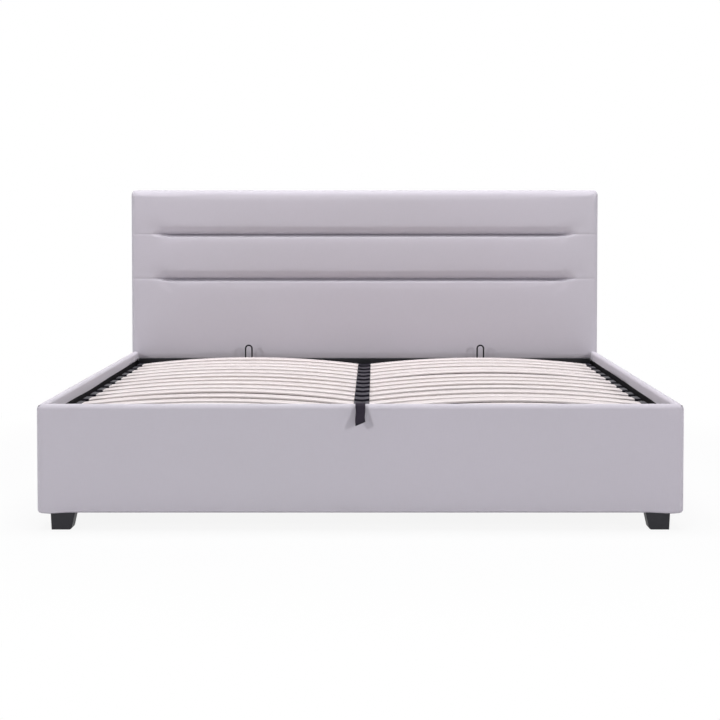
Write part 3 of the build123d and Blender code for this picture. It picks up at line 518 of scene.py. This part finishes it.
def channel_depth(x, z):
    """How far the sewn channels draw the face in: above a seam the face turns in along a quarter
    of an ellipse 36 mm high, below it along one 10 mm high. Each seam keeps its full depth to
    134 mm from the side, runs out over 53 mm and lifts by 4 mm there. The stitches pull a narrow
    crease along it, which goes on to the side."""
    reach = np.abs(x)
    run_out = np.clip((reach - channel_half) / channel_fade, 0.0, 1.0)
    fade = (1.0 - run_out) ** 1.6 * (1.0 + 0.5 * run_out)
    lift = channel_lift * np.clip((reach - channel_half + 0.03) / 0.05, 0.0, 1.0) ** 2
    depth = np.zeros(np.broadcast(x, z).shape)
    for seam in channel_heights:
        lifted = seam + lift
        above = np.clip((z - lifted) / channel_above, 0.0, 1.0)
        below = np.clip((lifted - z) / channel_below, 0.0, 1.0)
        share = np.where(z >= lifted, 1.0 - above, 1.0 - below)
        hollow = 1.0 - np.sqrt(np.clip(1.0 - share**2, 0.0, 1.0))
        crease = (crease_deep + crease_more * fade) * np.exp(-np.abs(z - lifted) / crease_wide)
        depth = depth + channel_deep * fade * hollow + crease
    return depth


def pad_crown(x, z):
    """The rolls' own swell: each is fullest, by 2.2 mm, half way between its two edges, along a
    parabola, and dies out over 120 mm at the sides."""
    edges = (pad_bottom, channel_heights[1], channel_heights[0], pad_high.z)
    swell = np.zeros(np.broadcast(x, z).shape)
    for low, high in zip(edges[:-1], edges[1:]):
        share = np.clip((z - low) / (high - low), 0.0, 1.0)
        swell = np.maximum(swell, 4.0 * share * (1.0 - share) * ((z >= low) & (z <= high)))
    side = np.clip((pad_high.x - np.abs(x)) / crown_fade, 0.0, 1.0)
    return roll_crown * swell * np.sin(0.5 * math.pi * side)


def pad_wrinkles(x, z):
    """How far wrinkles sink into the foam: slow ripples, the product of two sines; a fold from each
    top corner, in and down along a slanting line; and a pull over each end of a channel. Fold and
    pull have bell-shaped sections."""
    ripple_most, fold_most, pull_most = 0.0005, 0.0022, 0.0016
    from_side, from_top = pad_high.x - np.abs(x), pad_high.z - z
    ripple = ripple_most * np.sin(8.0 * x + 3.0 * z) * np.sin(5.0 * z + 1.0 + 2.0 * x)
    fold = np.exp(-((from_side - 0.55 * from_top - 0.004) / 0.005) ** 2) * np.exp(-from_top / 0.03)
    past_end = np.exp(-((np.abs(x) - channel_half - 0.03) / 0.05) ** 2)
    pull = np.zeros(ripple.shape)
    for seam in channel_heights:
        pull = pull + pull_most * past_end * np.exp(-((z - seam - 0.030) / 0.022) ** 2)
    return ripple + fold_most * fold + pull


def pad_face_points(x, z):
    """The face as a rounded slab: in an edge band a and b are how far round the bend a point lies,
    sideways and up, and the square of a and b is mapped to a quarter disc, so corners are round."""
    a = np.clip((np.abs(x) - (pad_high.x - side_round)) / side_round, 0.0, 1.0)
    up = np.clip((z - (pad_high.z - top_round)) / top_round, 0.0, 1.0)
    down = np.clip((pad_bottom + low_round - z) / low_round, 0.0, 1.0)
    b = up + down
    a_disc = a * np.sqrt(1.0 - 0.5 * b**2)
    b_disc = b * np.sqrt(1.0 - 0.5 * a**2)
    radius_z = np.where(up > 0.0, top_round, low_round)
    share = b_disc**2 / (a_disc**2 + b_disc**2 + 1e-9)
    radius = side_round + (radius_z - side_round) * share
    back = radius * (1.0 - np.sqrt(np.clip(1.0 - a_disc**2 - b_disc**2, 0.0, 1.0)))
    new_x = np.sign(x) * np.where(a > 0.0, pad_high.x - side_round * (1.0 - a_disc), np.abs(x))
    new_z = np.where(up > 0.0, pad_high.z - top_round * (1.0 - b_disc), z)
    new_z = np.where(down > 0.0, pad_bottom + low_round * (1.0 - b_disc), new_z)
    inset = channel_depth(x, z) * (1.0 - a**2)
    wrinkles = pad_wrinkles(x, z) * (1.0 - a) * (1.0 - b)
    y = pad_low.y + skin_inside + back + inset - pad_crown(x, z) + wrinkles
    return joined(new_x, y, new_z)


def relaxed(points, faces, held, limit):
    """The cloth step: the skin is held at its seams and round its edges, pressed out from inside for
    twenty frames without gravity, and no point may move further than the limit."""
    frames = 20
    mesh = bpy.data.meshes.new("pad_trial")
    mesh.from_pydata(points.tolist(), [], faces)
    trial = add_object("pad_trial", mesh)
    trial.vertex_groups.new(name="held").add(held.tolist(), 1.0, "REPLACE")
    cloth_step = trial.modifiers.new("cloth", "CLOTH")
    settings = cloth_step.settings
    settings.use_pressure = True
    settings.uniform_pressure_force = 4.0
    settings.effector_weights.gravity = 0.0
    settings.vertex_group_mass = "held"
    settings.quality = 6
    settings.tension_stiffness = 30.0
    settings.compression_stiffness = 30.0
    settings.bending_stiffness = 4.0
    cloth_step.point_cache.frame_end = frames
    for number in range(1, frames + 1):
        bpy.context.scene.frame_set(number)
    moved = np.empty(len(points) * 3, np.float32)
    shaped = trial.evaluated_get(bpy.context.evaluated_depsgraph_get()).data
    shaped.vertices.foreach_get("co", moved)
    bpy.context.scene.frame_set(1)
    bpy.data.objects.remove(trial)
    shift = moved.reshape(-1, 3) - points
    length = np.linalg.norm(shift, axis=1, keepdims=True)
    return points + shift * np.minimum(1.0, limit / np.maximum(length, 1e-9))


columns, rows = pad_columns(), pad_rows()
grid_x, grid_z = np.meshgrid(columns, rows)
front = pad_face_points(grid_x, grid_z)
index = np.arange(grid_x.size).reshape(grid_x.shape)
border = np.concatenate((index[0], index[1:, -1], index[-1, -2::-1], index[-2:0:-1, 0]))
cells = joined(index[:-1, :-1], index[:-1, 1:], index[1:, 1:], index[1:, :-1])
face_cells = cells.reshape(-1, 4).tolist()

# From the border of the face the skin goes straight back in five steps, in to the panel's edge as a
# lip, and forward again into the pocket between foam and panel, where one face closes it.
wall_steps = 5
rim = front.reshape(-1, 3)[border]
wall = np.repeat(rim[None], wall_steps, 0)
wall[..., 1] += np.linspace(0.0, 1.0, wall_steps + 1)[1:, None] * (panel_high.y - rim[:, 1])
skin_points = np.concatenate((front.reshape(-1, 3), wall.reshape(-1, 3)))
rings = np.vstack((border, index.size + np.arange((wall_steps + 2) * len(border)).reshape(-1, len(border))))
skin_rings = rings[:wall_steps + 1]

at_seam = [np.argmin(np.abs(rows - seam)) for seam in channel_heights]
sewn = index[at_seam][:, np.abs(columns) < channel_half + sewn_past].ravel()
held = np.concatenate((sewn, skin_rings.ravel()))
skin_faces = face_cells + band_faces(skin_rings[:-1], skin_rings[1:])
skin_points = relaxed(skin_points, skin_faces, held, travel_cap)

edge = skin_points[skin_rings[-1]]
lip_x = np.clip(edge[:, 0], panel_low.x - clearance, panel_high.x + clearance)
lip_z = np.clip(edge[:, 2], pad_bottom + lip_rise, panel_high.z + clearance)
lip = joined(lip_x, edge[:, 1], lip_z)
pocket = joined(lip_x, panel_low.y - clearance, lip_z)
all_points = np.concatenate((skin_points, lip, pocket))
all_faces = face_cells + band_faces(rings[:-1], rings[1:])

# The weave runs on over the edge: the wall's map is the border's, moved outwards by the way back.
rise = distance_along(front[:, len(columns) // 2])
face_uv = joined(grid_x, rise[:, None]).reshape(-1, 2)
at_side = np.abs(rim[:, 0]) > pad_high.x - side_band
upright = np.where(rim[:, 2] > (pad_bottom + pad_high.z) / 2, 1.0, -1.0)
outward = joined(np.sign(rim[:, 0]) * at_side, upright * ~at_side)
wall_uv = face_uv[border] + (wall[..., 1] - rim[:, 1])[..., None] * outward
uv = np.concatenate((face_uv, wall_uv.reshape(-1, 2), wall_uv[-1], wall_uv[-1]))
open_skin = add_object("pad_skin", make_mesh("pad_skin", all_points, all_faces, cloth, uv, crease=60.0))
smooth = open_skin.modifiers.new("smooth", "SUBSURF")
smooth.levels = 1
smooth.render_levels = 1
smooth.use_limit_surface = False
finished = bpy.data.meshes.new_from_object(open_skin.evaluated_get(bpy.context.evaluated_depsgraph_get()))
bpy.data.objects.remove(open_skin)
shell = bmesh.new()
shell.from_mesh(finished)
bmesh.ops.edgeloop_fill(shell, edges=[edge for edge in shell.edges if edge.is_boundary])
bmesh.ops.recalc_face_normals(shell, faces=shell.faces)
shell.to_mesh(finished)
shell.free()
pad = add_piece("headboard_cushion", finished, "bed_frame")
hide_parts("headboard_pad")


# Headboard side strips: cloth glued over the edges of the headboard below the pad, from the
# floor gap up to a sewn joint just under the pad's lower corner.
def rounded_bar(low, high, rounds, turns):
    """A rectangle between two corners, against the clock: its upper corners have the first radius
    and number of steps, its lower ones the second."""
    (above, below), (above_turns, below_turns) = rounds, turns
    return np.concatenate((
        quarter((high[0] - above, high[1] - above), above, 0.0, above_turns),
        quarter((low[0] + above, high[1] - above), above, 90.0, above_turns),
        quarter((low[0] + below, low[1] + below), below, 180.0, below_turns),
        quarter((high[0] - below, low[1] + below), below, 270.0, below_turns),
    ))


strip_rows, strip_overlap, strip_round = 30, 0.004, 0.0025
outline = rounded_bar(
    (panel_high.x + clearance, base_low.y), (pad_high.x, panel_high.y), (strip_round, strip_round), (4, 4)
)
heights = np.linspace(pad_low.z, pad_bottom + strip_overlap, strip_rows)
faces = tube_faces(strip_rows, len(outline))
uv = joined(distance_along(outline), heights[:, None])
for side, side_name in ((-1, "left"), (1, "right")):
    grid = joined(side * outline[:, 0], outline[:, 1], heights[:, None])
    name = f"headboard_edge_cloth_{side_name}"
    strip = make_piece(name, grid, faces, cloth, "bed_frame", uv)
    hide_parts("headboard_pad")


# Back lining: a sheet of black spun cloth stapled over the back of the headboard. Pressed dimples
# a few millimetres apart hold its fibres together.
def spun_lining():
    """The product of two sines, across and up, gives the dimples, and fine noise the fibres."""
    material, shader, place = new_finish("spun_lining", {"Specular IOR Level": 0.2, "Sheen Weight": 0.1})
    dimples = 1400.0
    dimple = place.math("SINE", place.part(0) * dimples) * place.math("SINE", place.part(2) * dimples)
    fibre = place.noise(500.0, 4.0)
    fibre.mix((0.018, 0.018, 0.020, 1.0), (0.045, 0.045, 0.048, 1.0)).into(shader, "Base Color")
    (0.75 + 0.15 * fibre).into(shader, "Roughness")
    (dimple * 0.5 + fibre).bump(0.0002).into(shader, "Normal")
    return material


finish_nodes(spun_lining(), "headboard_back_cover")

# Lining staples: bent from fine zinc-plated wire and shot through the lining into the boards, one
# every 45 mm up both sides and along the top and the bottom.
lining_low, lining_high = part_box("headboard_back_cover")
staple_pitch, staple_inset, staple_crown, staple_wire = 0.045, 0.012, 0.010, 0.0011


def staple_block(centres, along_x):
    """One flat bar with bevelled long edges for each centre, all in one array of points: three
    layers of four corners, given by their share of the width and their height off the lining."""
    half = np.array((staple_crown, staple_wire) if along_x else (staple_wire, staple_crown)) / 2
    corners = np.array(((-1, -1), (1, -1), (1, 1), (-1, 1)))
    layers = ((1.0, 0.0), (1.0, 0.0005), (0.82, 0.0008))
    block = [np.concatenate((corners * half * share, np.full((4, 1), rise)), -1) for share, rise in layers]
    return centres[:, None] + np.concatenate(block)[:, (0, 2, 1)]


side_z = np.arange(lining_low.z + 0.03, lining_high.z - 0.03, staple_pitch)
top_x = np.arange(lining_low.x + 0.03, lining_high.x - 0.02, staple_pitch)
lines = [(x, side_z, False) for x in (lining_low.x + staple_inset, lining_high.x - staple_inset)]
lines += [(top_x, z, True) for z in (lining_high.z - staple_inset, lining_low.z + staple_inset)]
blocks = np.concatenate([staple_block(joined(x, lining_high.y, z), along_x) for x, z, along_x in lines])
first_corner = blocks.shape[1] * np.arange(len(blocks))[:, None, None]
faces = (first_corner + np.array(tube_faces(3, 4))).reshape(-1, 4).tolist()
make_piece("lining_staples", blocks, faces, zinc, "bed_frame", crease=30.0)


# Steel of the lift: the welded frame of tube, its lift plates and wire mattress stops, the base
# plates and the rest brackets, all powder coated black. The coat has a fine orange peel.
def powder_coat():
    """Fine noise gives the orange peel, and slow noise the dust in tint and gloss."""
    material, shader, place = new_finish("powder_coat", {"Specular IOR Level": 0.1})
    peel = place.noise(900.0, 2.0)
    dust = place.noise(14.0, 4.0)
    dust.mix((0.009, 0.009, 0.011, 1.0), (0.017, 0.017, 0.020, 1.0)).into(shader, "Base Color")
    (0.46 + 0.16 * dust).into(shader, "Roughness")
    peel.bump(0.00012).into(shader, "Normal")
    return material


finish_nodes(
    powder_coat(), "lift_side_tube_left", "lift_side_tube_right", "lift_spine_tube", "lift_head_tube",
    "lift_foot_tube", "lift_mid_tubes", "lift_plate_left", "lift_plate_right", "hinge_base_plate_left",
    "hinge_base_plate_right", "rest_brackets", "mattress_stop_left", "mattress_stop_right",
)


# Rest pads: blocks of black rubber on the rest brackets. The side tubes come down on them, so
# that the base lands softly.
def pad_rubber():
    """Fine noise gives the grain that the mould leaves."""
    material, shader, place = new_finish("pad_rubber", {"Specular IOR Level": 0.3})
    grain = place.noise(700.0, 3.0)
    grain.mix((0.012, 0.012, 0.012, 1.0), (0.028, 0.027, 0.026, 1.0)).into(shader, "Base Color")
    (0.7 + 0.2 * grain).into(shader, "Roughness")
    grain.bump(0.0002).into(shader, "Normal")
    return material


finish_nodes(pad_rubber(), "rest_pads")


# Gas struts: a steel cylinder with satin black enamel at each side, and its polished rod, which
# slides out as the base lifts.
def strut_enamel():
    """Soft noise varies tint and gloss, and fine noise gives the orange peel."""
    material, shader, place = new_finish("strut_enamel", {"Coat Roughness": 0.15})
    drift = place.noise(40.0, 3.0)
    drift.mix((0.010, 0.010, 0.011, 1.0), (0.018, 0.018, 0.020, 1.0)).into(shader, "Base Color")
    (0.24 + 0.12 * drift).into(shader, "Roughness")
    place.noise(600.0, 2.0).bump(0.00003).into(shader, "Normal")
    return material


def polished_rod():
    """Soft noise gives the film of oil in tint and gloss, and very fine noise the polish."""
    material, shader, place = new_finish("polished_rod", {"Metallic": 1.0})
    film = place.noise(60.0, 3.0)
    film.mix((0.60, 0.60, 0.62, 1.0), (0.70, 0.70, 0.70, 1.0)).into(shader, "Base Color")
    (0.08 + 0.12 * film).into(shader, "Roughness")
    place.noise(1200.0, 2.0).bump(0.00001).into(shader, "Normal")
    return material


finish_nodes(strut_enamel(), "strut_cylinder_left", "strut_cylinder_right")
finish_nodes(polished_rod(), "strut_rod_left", "strut_rod_right")


# Slats: thirteen rows of two, each bent from layers of pale birch and lacquered. The long edges
# are rounded over, and the layers show on them as fine lines. No two are bent quite alike.
def pale_birch():
    """Fine pores and slow bands run along the slat; the attribute ply counts the layers from the
    underside to the top, and edge is 1 on the long edges, where the glue lines show. The long
    edges are also painted much paler than the top: painted light that fills the shade on the
    upright faces."""
    material, shader, place = new_finish("pale_birch", {"Specular IOR Level": 0.12})
    bands = place.stretched(2.0, 40.0, 40.0).noise(1.0, 3.0)
    pores = place.stretched(14.0, 900.0, 900.0).noise(1.0, 3.0)
    names = ("tone", "ply", "edge")
    tone, ply, edge = [place.node("ShaderNodeAttribute", {"attribute_name": name}, {}, 2) for name in names]
    plies = 5.0
    pale = bands.between(0.3, 0.7).mix((0.57, 0.51, 0.515, 1.0), (0.645, 0.595, 0.60, 1.0))
    toned = (tone * 0.35).mix(pale, (0.58, 0.515, 0.515, 1.0))
    porous = (pores.between(0.52, 0.72) * 0.45).mix(toned, (0.51, 0.43, 0.41, 1.0))
    layer = place.math("SINE", ply * (2.0 * math.pi * plies)).between(0.3, 0.9)
    # Painted light: the long edges get these colours, far paler than the top, as painted fill for the shade
    # on the upright faces; the stripes between the two are the real glue lines.
    layers = layer.mix((0.85, 0.785, 0.795, 1.0), (0.76, 0.69, 0.69, 1.0))
    (edge * 0.85).mix(porous, layers).into(shader, "Base Color")
    (0.5 + 0.2 * pores).into(shader, "Roughness")
    (pores + 0.5 * bands).bump(0.00008).into(shader, "Normal")
    return material


birch = pale_birch()
slat_inner, slat_width, slat_thick, slat_rise = 0.013, 0.070, 0.008, 0.028
slat_edge, slat_arris, slat_stations = 0.0040, 0.0006, 48
slat_outline = rounded_bar(
    (-slat_width / 2, 0.0), (slat_width / 2, slat_thick), (slat_edge, slat_arris), (6, 2)
)
rng = np.random.default_rng(7)


def slat_points(side, row_y, low_z, start, end, rise, twist):
    """A rounded rectangle carried along a circular arc. The arc has the slat's span as its chord
    and its rise as its height; the section leans with it and turns a little about it in the middle."""
    share = np.linspace(0.0, 1.0, slat_stations)
    x = start + (end - start) * share
    middle = (start + end) / 2
    radius = ((end - start) ** 2 / 4 + rise**2) / (2 * rise)
    level = np.sqrt(radius**2 - (x - middle) ** 2)
    slope = np.arctan2(middle - x, level)[:, None]
    lean = twist * np.sin(math.pi * share)[:, None]
    across = slat_outline[:, 0] * np.cos(lean)
    up = slat_outline[:, 1] + slat_outline[:, 0] * np.sin(lean)
    z = low_z + (level - (radius - rise))[:, None] + up * np.cos(slope)
    return joined(side * (x[:, None] - up * np.sin(slope)), row_y + across, z)


def keep_values(piece, name, values):
    """An attribute of the piece with one value for each of its points, for its material to read."""
    attribute = piece.data.attributes.new(name, "FLOAT", "POINT")
    attribute.data.foreach_set("value", values.astype(np.float32).ravel())


# A few slats stand up more than the rest, by these heights on the left and on the right.
stands_up = {11: (0.0, 0.0034), 9: (0.0022, 0.0), 4: (0.0010, 0.0016)}
rise_spread, twist_most = (-0.0018, 0.0008), 0.6
on_edge = np.abs(slat_outline[:, 0]) > slat_width / 2 - slat_edge * 0.6
for row in range(13):
    node = f"slat_row_{row + 1:02d}"
    low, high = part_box(node)
    slats, faces, tones = [], [], []
    for side, more in zip((-1, 1), stands_up.get(row, (0.0, 0.0))):
        rise = slat_rise + rng.uniform(*rise_spread) + more
        twist = math.radians(rng.uniform(-twist_most, twist_most))
        slat = slat_points(side, (low.y + high.y) / 2, low.z, slat_inner, high.x, rise, twist)
        faces += tube_faces(*slat.shape[:2], start=len(slats) * slat[..., 0].size)
        slats.append(slat)
        tones.append(rng.uniform(0.0, 1.0))
    points = np.array(slats)
    name = f"slat_pair_{row + 1:02d}"
    slat_row = make_piece(name, points, faces, birch, "lifting_base", crease=60.0)
    values = {"ply": slat_outline[:, 1] / slat_thick, "edge": on_edge, "tone": np.array(tones)[:, None, None]}
    for label, value in values.items():
        keep_values(slat_row, label, np.broadcast_to(value, points.shape[:3]))
    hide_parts(node)


# Caps: the plastic holders that the slats are pushed into, riveted to the side tubes and, in
# pairs back to back, to the spine tube.
def cap_plastic():
    """Soft noise gives the flow marks in tint and gloss, and very fine noise the skin."""
    material, shader, place = new_finish("cap_plastic", {"Specular IOR Level": 0.14})
    flow = place.noise(60.0, 3.0)
    flow.mix((0.009, 0.008, 0.013, 1.0), (0.016, 0.014, 0.022, 1.0)).into(shader, "Base Color")
    (0.3 + 0.14 * flow).into(shader, "Roughness")
    place.noise(1500.0, 2.0).bump(0.00005).into(shader, "Normal")
    return material


finish_nodes(cap_plastic(), "side_caps_left", "side_caps_right", "centre_caps")


# Pull strap: black polyester webbing, sewn round the foot tube and led over the footboard. Its
# free end stands off the face, is cut on the slant and melted so that it doesn't fray.
def black_webbing():
    """Webbing in its own metres: ribs along it are one sine, picks across it another, set off by
    half a turn from rib to rib, and the last millimetres of the free end are melted smooth. Where
    rib and pick both stand up the colour is paler: a painted highlight on the weave."""
    material, shader, place = new_finish("black_webbing", {"Specular IOR Level": 0.08, "Sheen Weight": 0.02})
    cloth = place.node("ShaderNodeUVMap", {"uv_map": "cloth"}, {})
    rib_pitch, pick_pitch = 0.0026, 0.0021
    rib = place.math("SINE", cloth.part(0) * (2.0 * math.pi / rib_pitch))
    set_off = rib.between(-0.2, 0.2) * math.pi
    pick = place.math("SINE", cloth.part(1) * (2.0 * math.pi / pick_pitch) + set_off)
    fuzz = place.noise(500.0, 3.0)
    melted = place.node("ShaderNodeAttribute", {"attribute_name": "melted"}, {}, 2)
    tone = fuzz.mix((0.012, 0.009, 0.015, 1.0), (0.027, 0.021, 0.033, 1.0))
    # Painted highlight: the raised crossings of rib and pick are painted paler than the rest of the weave.
    raised = ((rib * pick).between(-0.6, 0.9) * 0.5).mix(tone, (0.040, 0.032, 0.048, 1.0))
    melted.mix(raised, (0.010, 0.009, 0.012, 1.0)).into(shader, "Base Color")
    (0.72 + 0.15 * fuzz - 0.3 * melted).into(shader, "Roughness")
    ((rib * pick * 0.5 + rib * 0.3) * (1.0 - melted)).bump(0.0003).into(shader, "Normal")
    return material


def rounded_path(corners, radii):
    """A line through corners in Y and Z, each inner corner replaced by an arc of its radius."""
    turns = 7
    path = [np.array(corners[:1])]
    for before, corner_point, after, radius in zip(corners[:-2], corners[1:-1], corners[2:], radii):
        corner_point = np.array(corner_point)
        into, out = corner_point - before, np.array(after) - corner_point
        into, out = into / np.linalg.norm(into), out / np.linalg.norm(out)
        bend = math.acos(np.clip(into @ out, -1.0, 1.0))
        reach = radius * math.tan(bend / 2)
        side = np.sign(into[0] * out[1] - into[1] * out[0])
        normal = side * np.array((-into[1], into[0]))
        centre = corner_point - into * reach + normal * radius
        angle = np.linspace(0.0, bend, turns)[:, None]
        path.append(centre + radius * (into * np.sin(angle) - normal * np.cos(angle)))
    path.append(np.array(corners[-1:]))
    return np.concatenate(path)


strap_low, strap_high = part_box("pull_strap")
tube_low, tube_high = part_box("lift_foot_tube")
strap_sheet, strap_slant, strap_over = 0.0018, 0.012, cover_high.z + 0.0023
strap_line = rounded_path(
    [
        (tube_high.y + 0.001, tube_low.z + 0.004),
        (tube_high.y + 0.001, tube_high.z + 0.001),
        (tube_low.y, tube_high.z + 0.001),
        (board_high.y + 0.004, strap_over),
        (cover_low.y - 0.005, strap_over),
        (strap_low.y + 0.001, cover_high.z - 0.060),
    ],
    (0.002, 0.009, 0.009, 0.014),
)


def strap_grid():
    """The section, a flat bar with round edges, is carried along the strap's line and stands square
    to it. The last run is cut short by up to 12 mm from the left edge to the right, narrows a little,
    sways, and bows out at its end; its share to the twelfth power says where it is melted."""
    narrow, sway, bow, last_rows, flat_columns = 0.03, 0.0008, 0.0015, 22, 15
    half, thick = (strap_high.x - strap_low.x) / 2, strap_sheet / 2
    turn = np.linspace(-math.pi / 2, math.pi / 2, 5)[1:-1]
    across = np.linspace(-half + thick, half - thick, flat_columns)
    round_x, round_n = half - thick + thick * np.cos(turn), thick * np.sin(turn)
    outline_x = np.r_[across, round_x, across[::-1], -round_x]
    outline_n = np.r_[0 * across - thick, round_n, 0 * across + thick, -round_n]
    start, last_run = strap_line[-2], strap_line[-1] - strap_line[-2]
    down = np.linspace(0.0, 1.0, last_rows)[1:]
    line = np.concatenate((strap_line[:-1], start + last_run * down[:, None]))
    share = np.r_[np.zeros(len(strap_line) - 1), down][:, None]
    tangent = np.gradient(line, axis=0)
    tangent /= np.linalg.norm(tangent, axis=1, keepdims=True)
    normal = joined(-tangent[:, 1], tangent[:, 0])
    shorter = strap_slant * (outline_x + half) / (2 * half) * np.linalg.norm(last_run) / -last_run[1]
    back = share * shorter
    y = line[:, :1] + normal[:, :1] * outline_n - tangent[:, :1] * back
    z = line[:, 1:] + normal[:, 1:] * outline_n - tangent[:, 1:] * back
    x = outline_x * (1.0 - narrow * np.sin(math.pi * share)) + sway * np.sin(2.2 * math.pi * share)
    y = y - bow * share**2 * np.cos(0.5 * math.pi * outline_x / half)
    uv = joined(outline_x, distance_along(line)[:, None] - back)
    return joined(x, y, z), uv, np.broadcast_to(share**12, x.shape)


points, uv, melted = strap_grid()
faces = tube_faces(*points.shape[:2])
webbing = black_webbing()
strap = make_piece("strap_webbing", points, faces, webbing, "lifting_base", uv)
keep_values(strap, "melted", melted)
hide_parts("pull_strap")


# Studio floor: pale, and for the camera it goes over into white, keeping a soft shadow by the feet.
def rays_to_lens(tree):
    """1 on a ray from the camera, off a gloss or through glass, and 0 on light that bounces on."""
    start = Shade(tree)
    kinds = ("Is Camera Ray", "Is Glossy Ray", "Is Transmission Ray")
    direct, glossy, through = [start.node("ShaderNodeLightPath", {}, {}, kind) for kind in kinds]
    return start.math("MAXIMUM", start.math("MAXIMUM", direct, glossy), through)


def studio_floor():
    """For the lens nine tenths white over the lit floor, and all white from 2.6 m out; for the light
    that bounces, the plain pale floor."""
    constants = {"Base Color": (0.62, 0.62, 0.63, 1.0), "Roughness": 0.9}
    material, shader, place = new_finish("studio_floor", constants)
    away = place.node("ShaderNodeVectorMath", {"operation": "LENGTH"}, {0: place}, 1).between(1.3, 2.6)
    white = place.node("ShaderNodeEmission", {}, {"Color": (1.0, 1.0, 1.0, 1.0)})
    lit = Shade(place.tree, shader.outputs[0])
    factor = rays_to_lens(place.tree) * (0.9 + 0.1 * away)
    join = place.node("ShaderNodeMixShader", {}, {0: factor, 1: lit, 2: white})
    join.into(place.tree.nodes["Material Output"], "Surface")
    return material


floor_reach = 60.0
floor_corners = [(x * floor_reach, y * floor_reach, 0.0) for x, y in ((-1, -1), (1, -1), (1, 1), (-1, 1))]
floor_mesh = bpy.data.meshes.new("floor")
floor_mesh.from_pydata(floor_corners, [], [(0, 1, 2, 3)])
floor_mesh.materials.append(studio_floor())
floor = add_object("floor", floor_mesh)

# Daylight of the room: an even pale world that the camera sees as white.
world = bpy.data.worlds.new("studio")
bpy.context.scene.world = world
world.use_nodes = True
ambient = 0.1
background = world.node_tree.nodes["Background"]
background.inputs["Color"].default_value = (1.0, 1.0, 1.0, 1.0)
(ambient + (1.0 - ambient) * rays_to_lens(world.node_tree)).into(background, "Strength")


# Lamps: two soft boxes in front, left and right, a wide one overhead, and a weak one at each side
# for the edges of the headboard and the rails.
def soft_box(name, place, target, width, height, power):
    """A rectangular lamp at a place, turned to face its target."""
    light = bpy.data.lights.new(name, "AREA")
    light.shape = "RECTANGLE"
    light.size = width
    light.size_y = height
    light.energy = power
    lamp = add_object(name, light)
    lamp.location = place
    away = np.array(place) - np.array(target)
    flat_length = math.hypot(away[0], away[1])
    lamp.rotation_euler = (math.atan2(flat_length, away[2]), 0.0, math.atan2(away[0], -away[1]))


soft_box("key_left", (-6.4, -7.4, 3.2), (0.0, -0.4, 0.4), 1.2, 1.2, 285.0)
soft_box("key_right", (6.4, -7.4, 3.2), (0.0, -0.4, 0.4), 1.2, 1.2, 290.0)
soft_box("overhead", (0.0, 0.0, 6.5), (0.0, 0.0, 0.0), 4.6, 3.6, 480.0)
soft_box("side_left", (-7.0, 0.6, 1.6), (-0.95, 0.6, 0.6), 3.0, 2.0, 65.0)
soft_box("side_right", (7.0, 0.6, 1.6), (0.95, 0.6, 0.6), 3.0, 2.0, 65.0)

# Camera: a long lens a little below the top of the headboard, square to the foot end and turned
# slightly down.
camera_data = bpy.data.cameras.new("camera")
camera_data.sensor_width = 36.0
camera_data.lens = 90.19
camera_data.shift_x = -0.0217
camera_data.shift_y = -0.0968
camera_data.clip_end = 200.0
camera = add_object("camera", camera_data)
camera_back, camera_tilt = 5.264, 0.0407
camera.location = (0.0448, cover_low.y - camera_back, 0.9189)
camera.rotation_euler = (math.pi / 2 - camera_tilt, 0.0, 0.0)
bpy.context.scene.camera = camera
bpy.context.scene.view_settings.view_transform = "Standard"
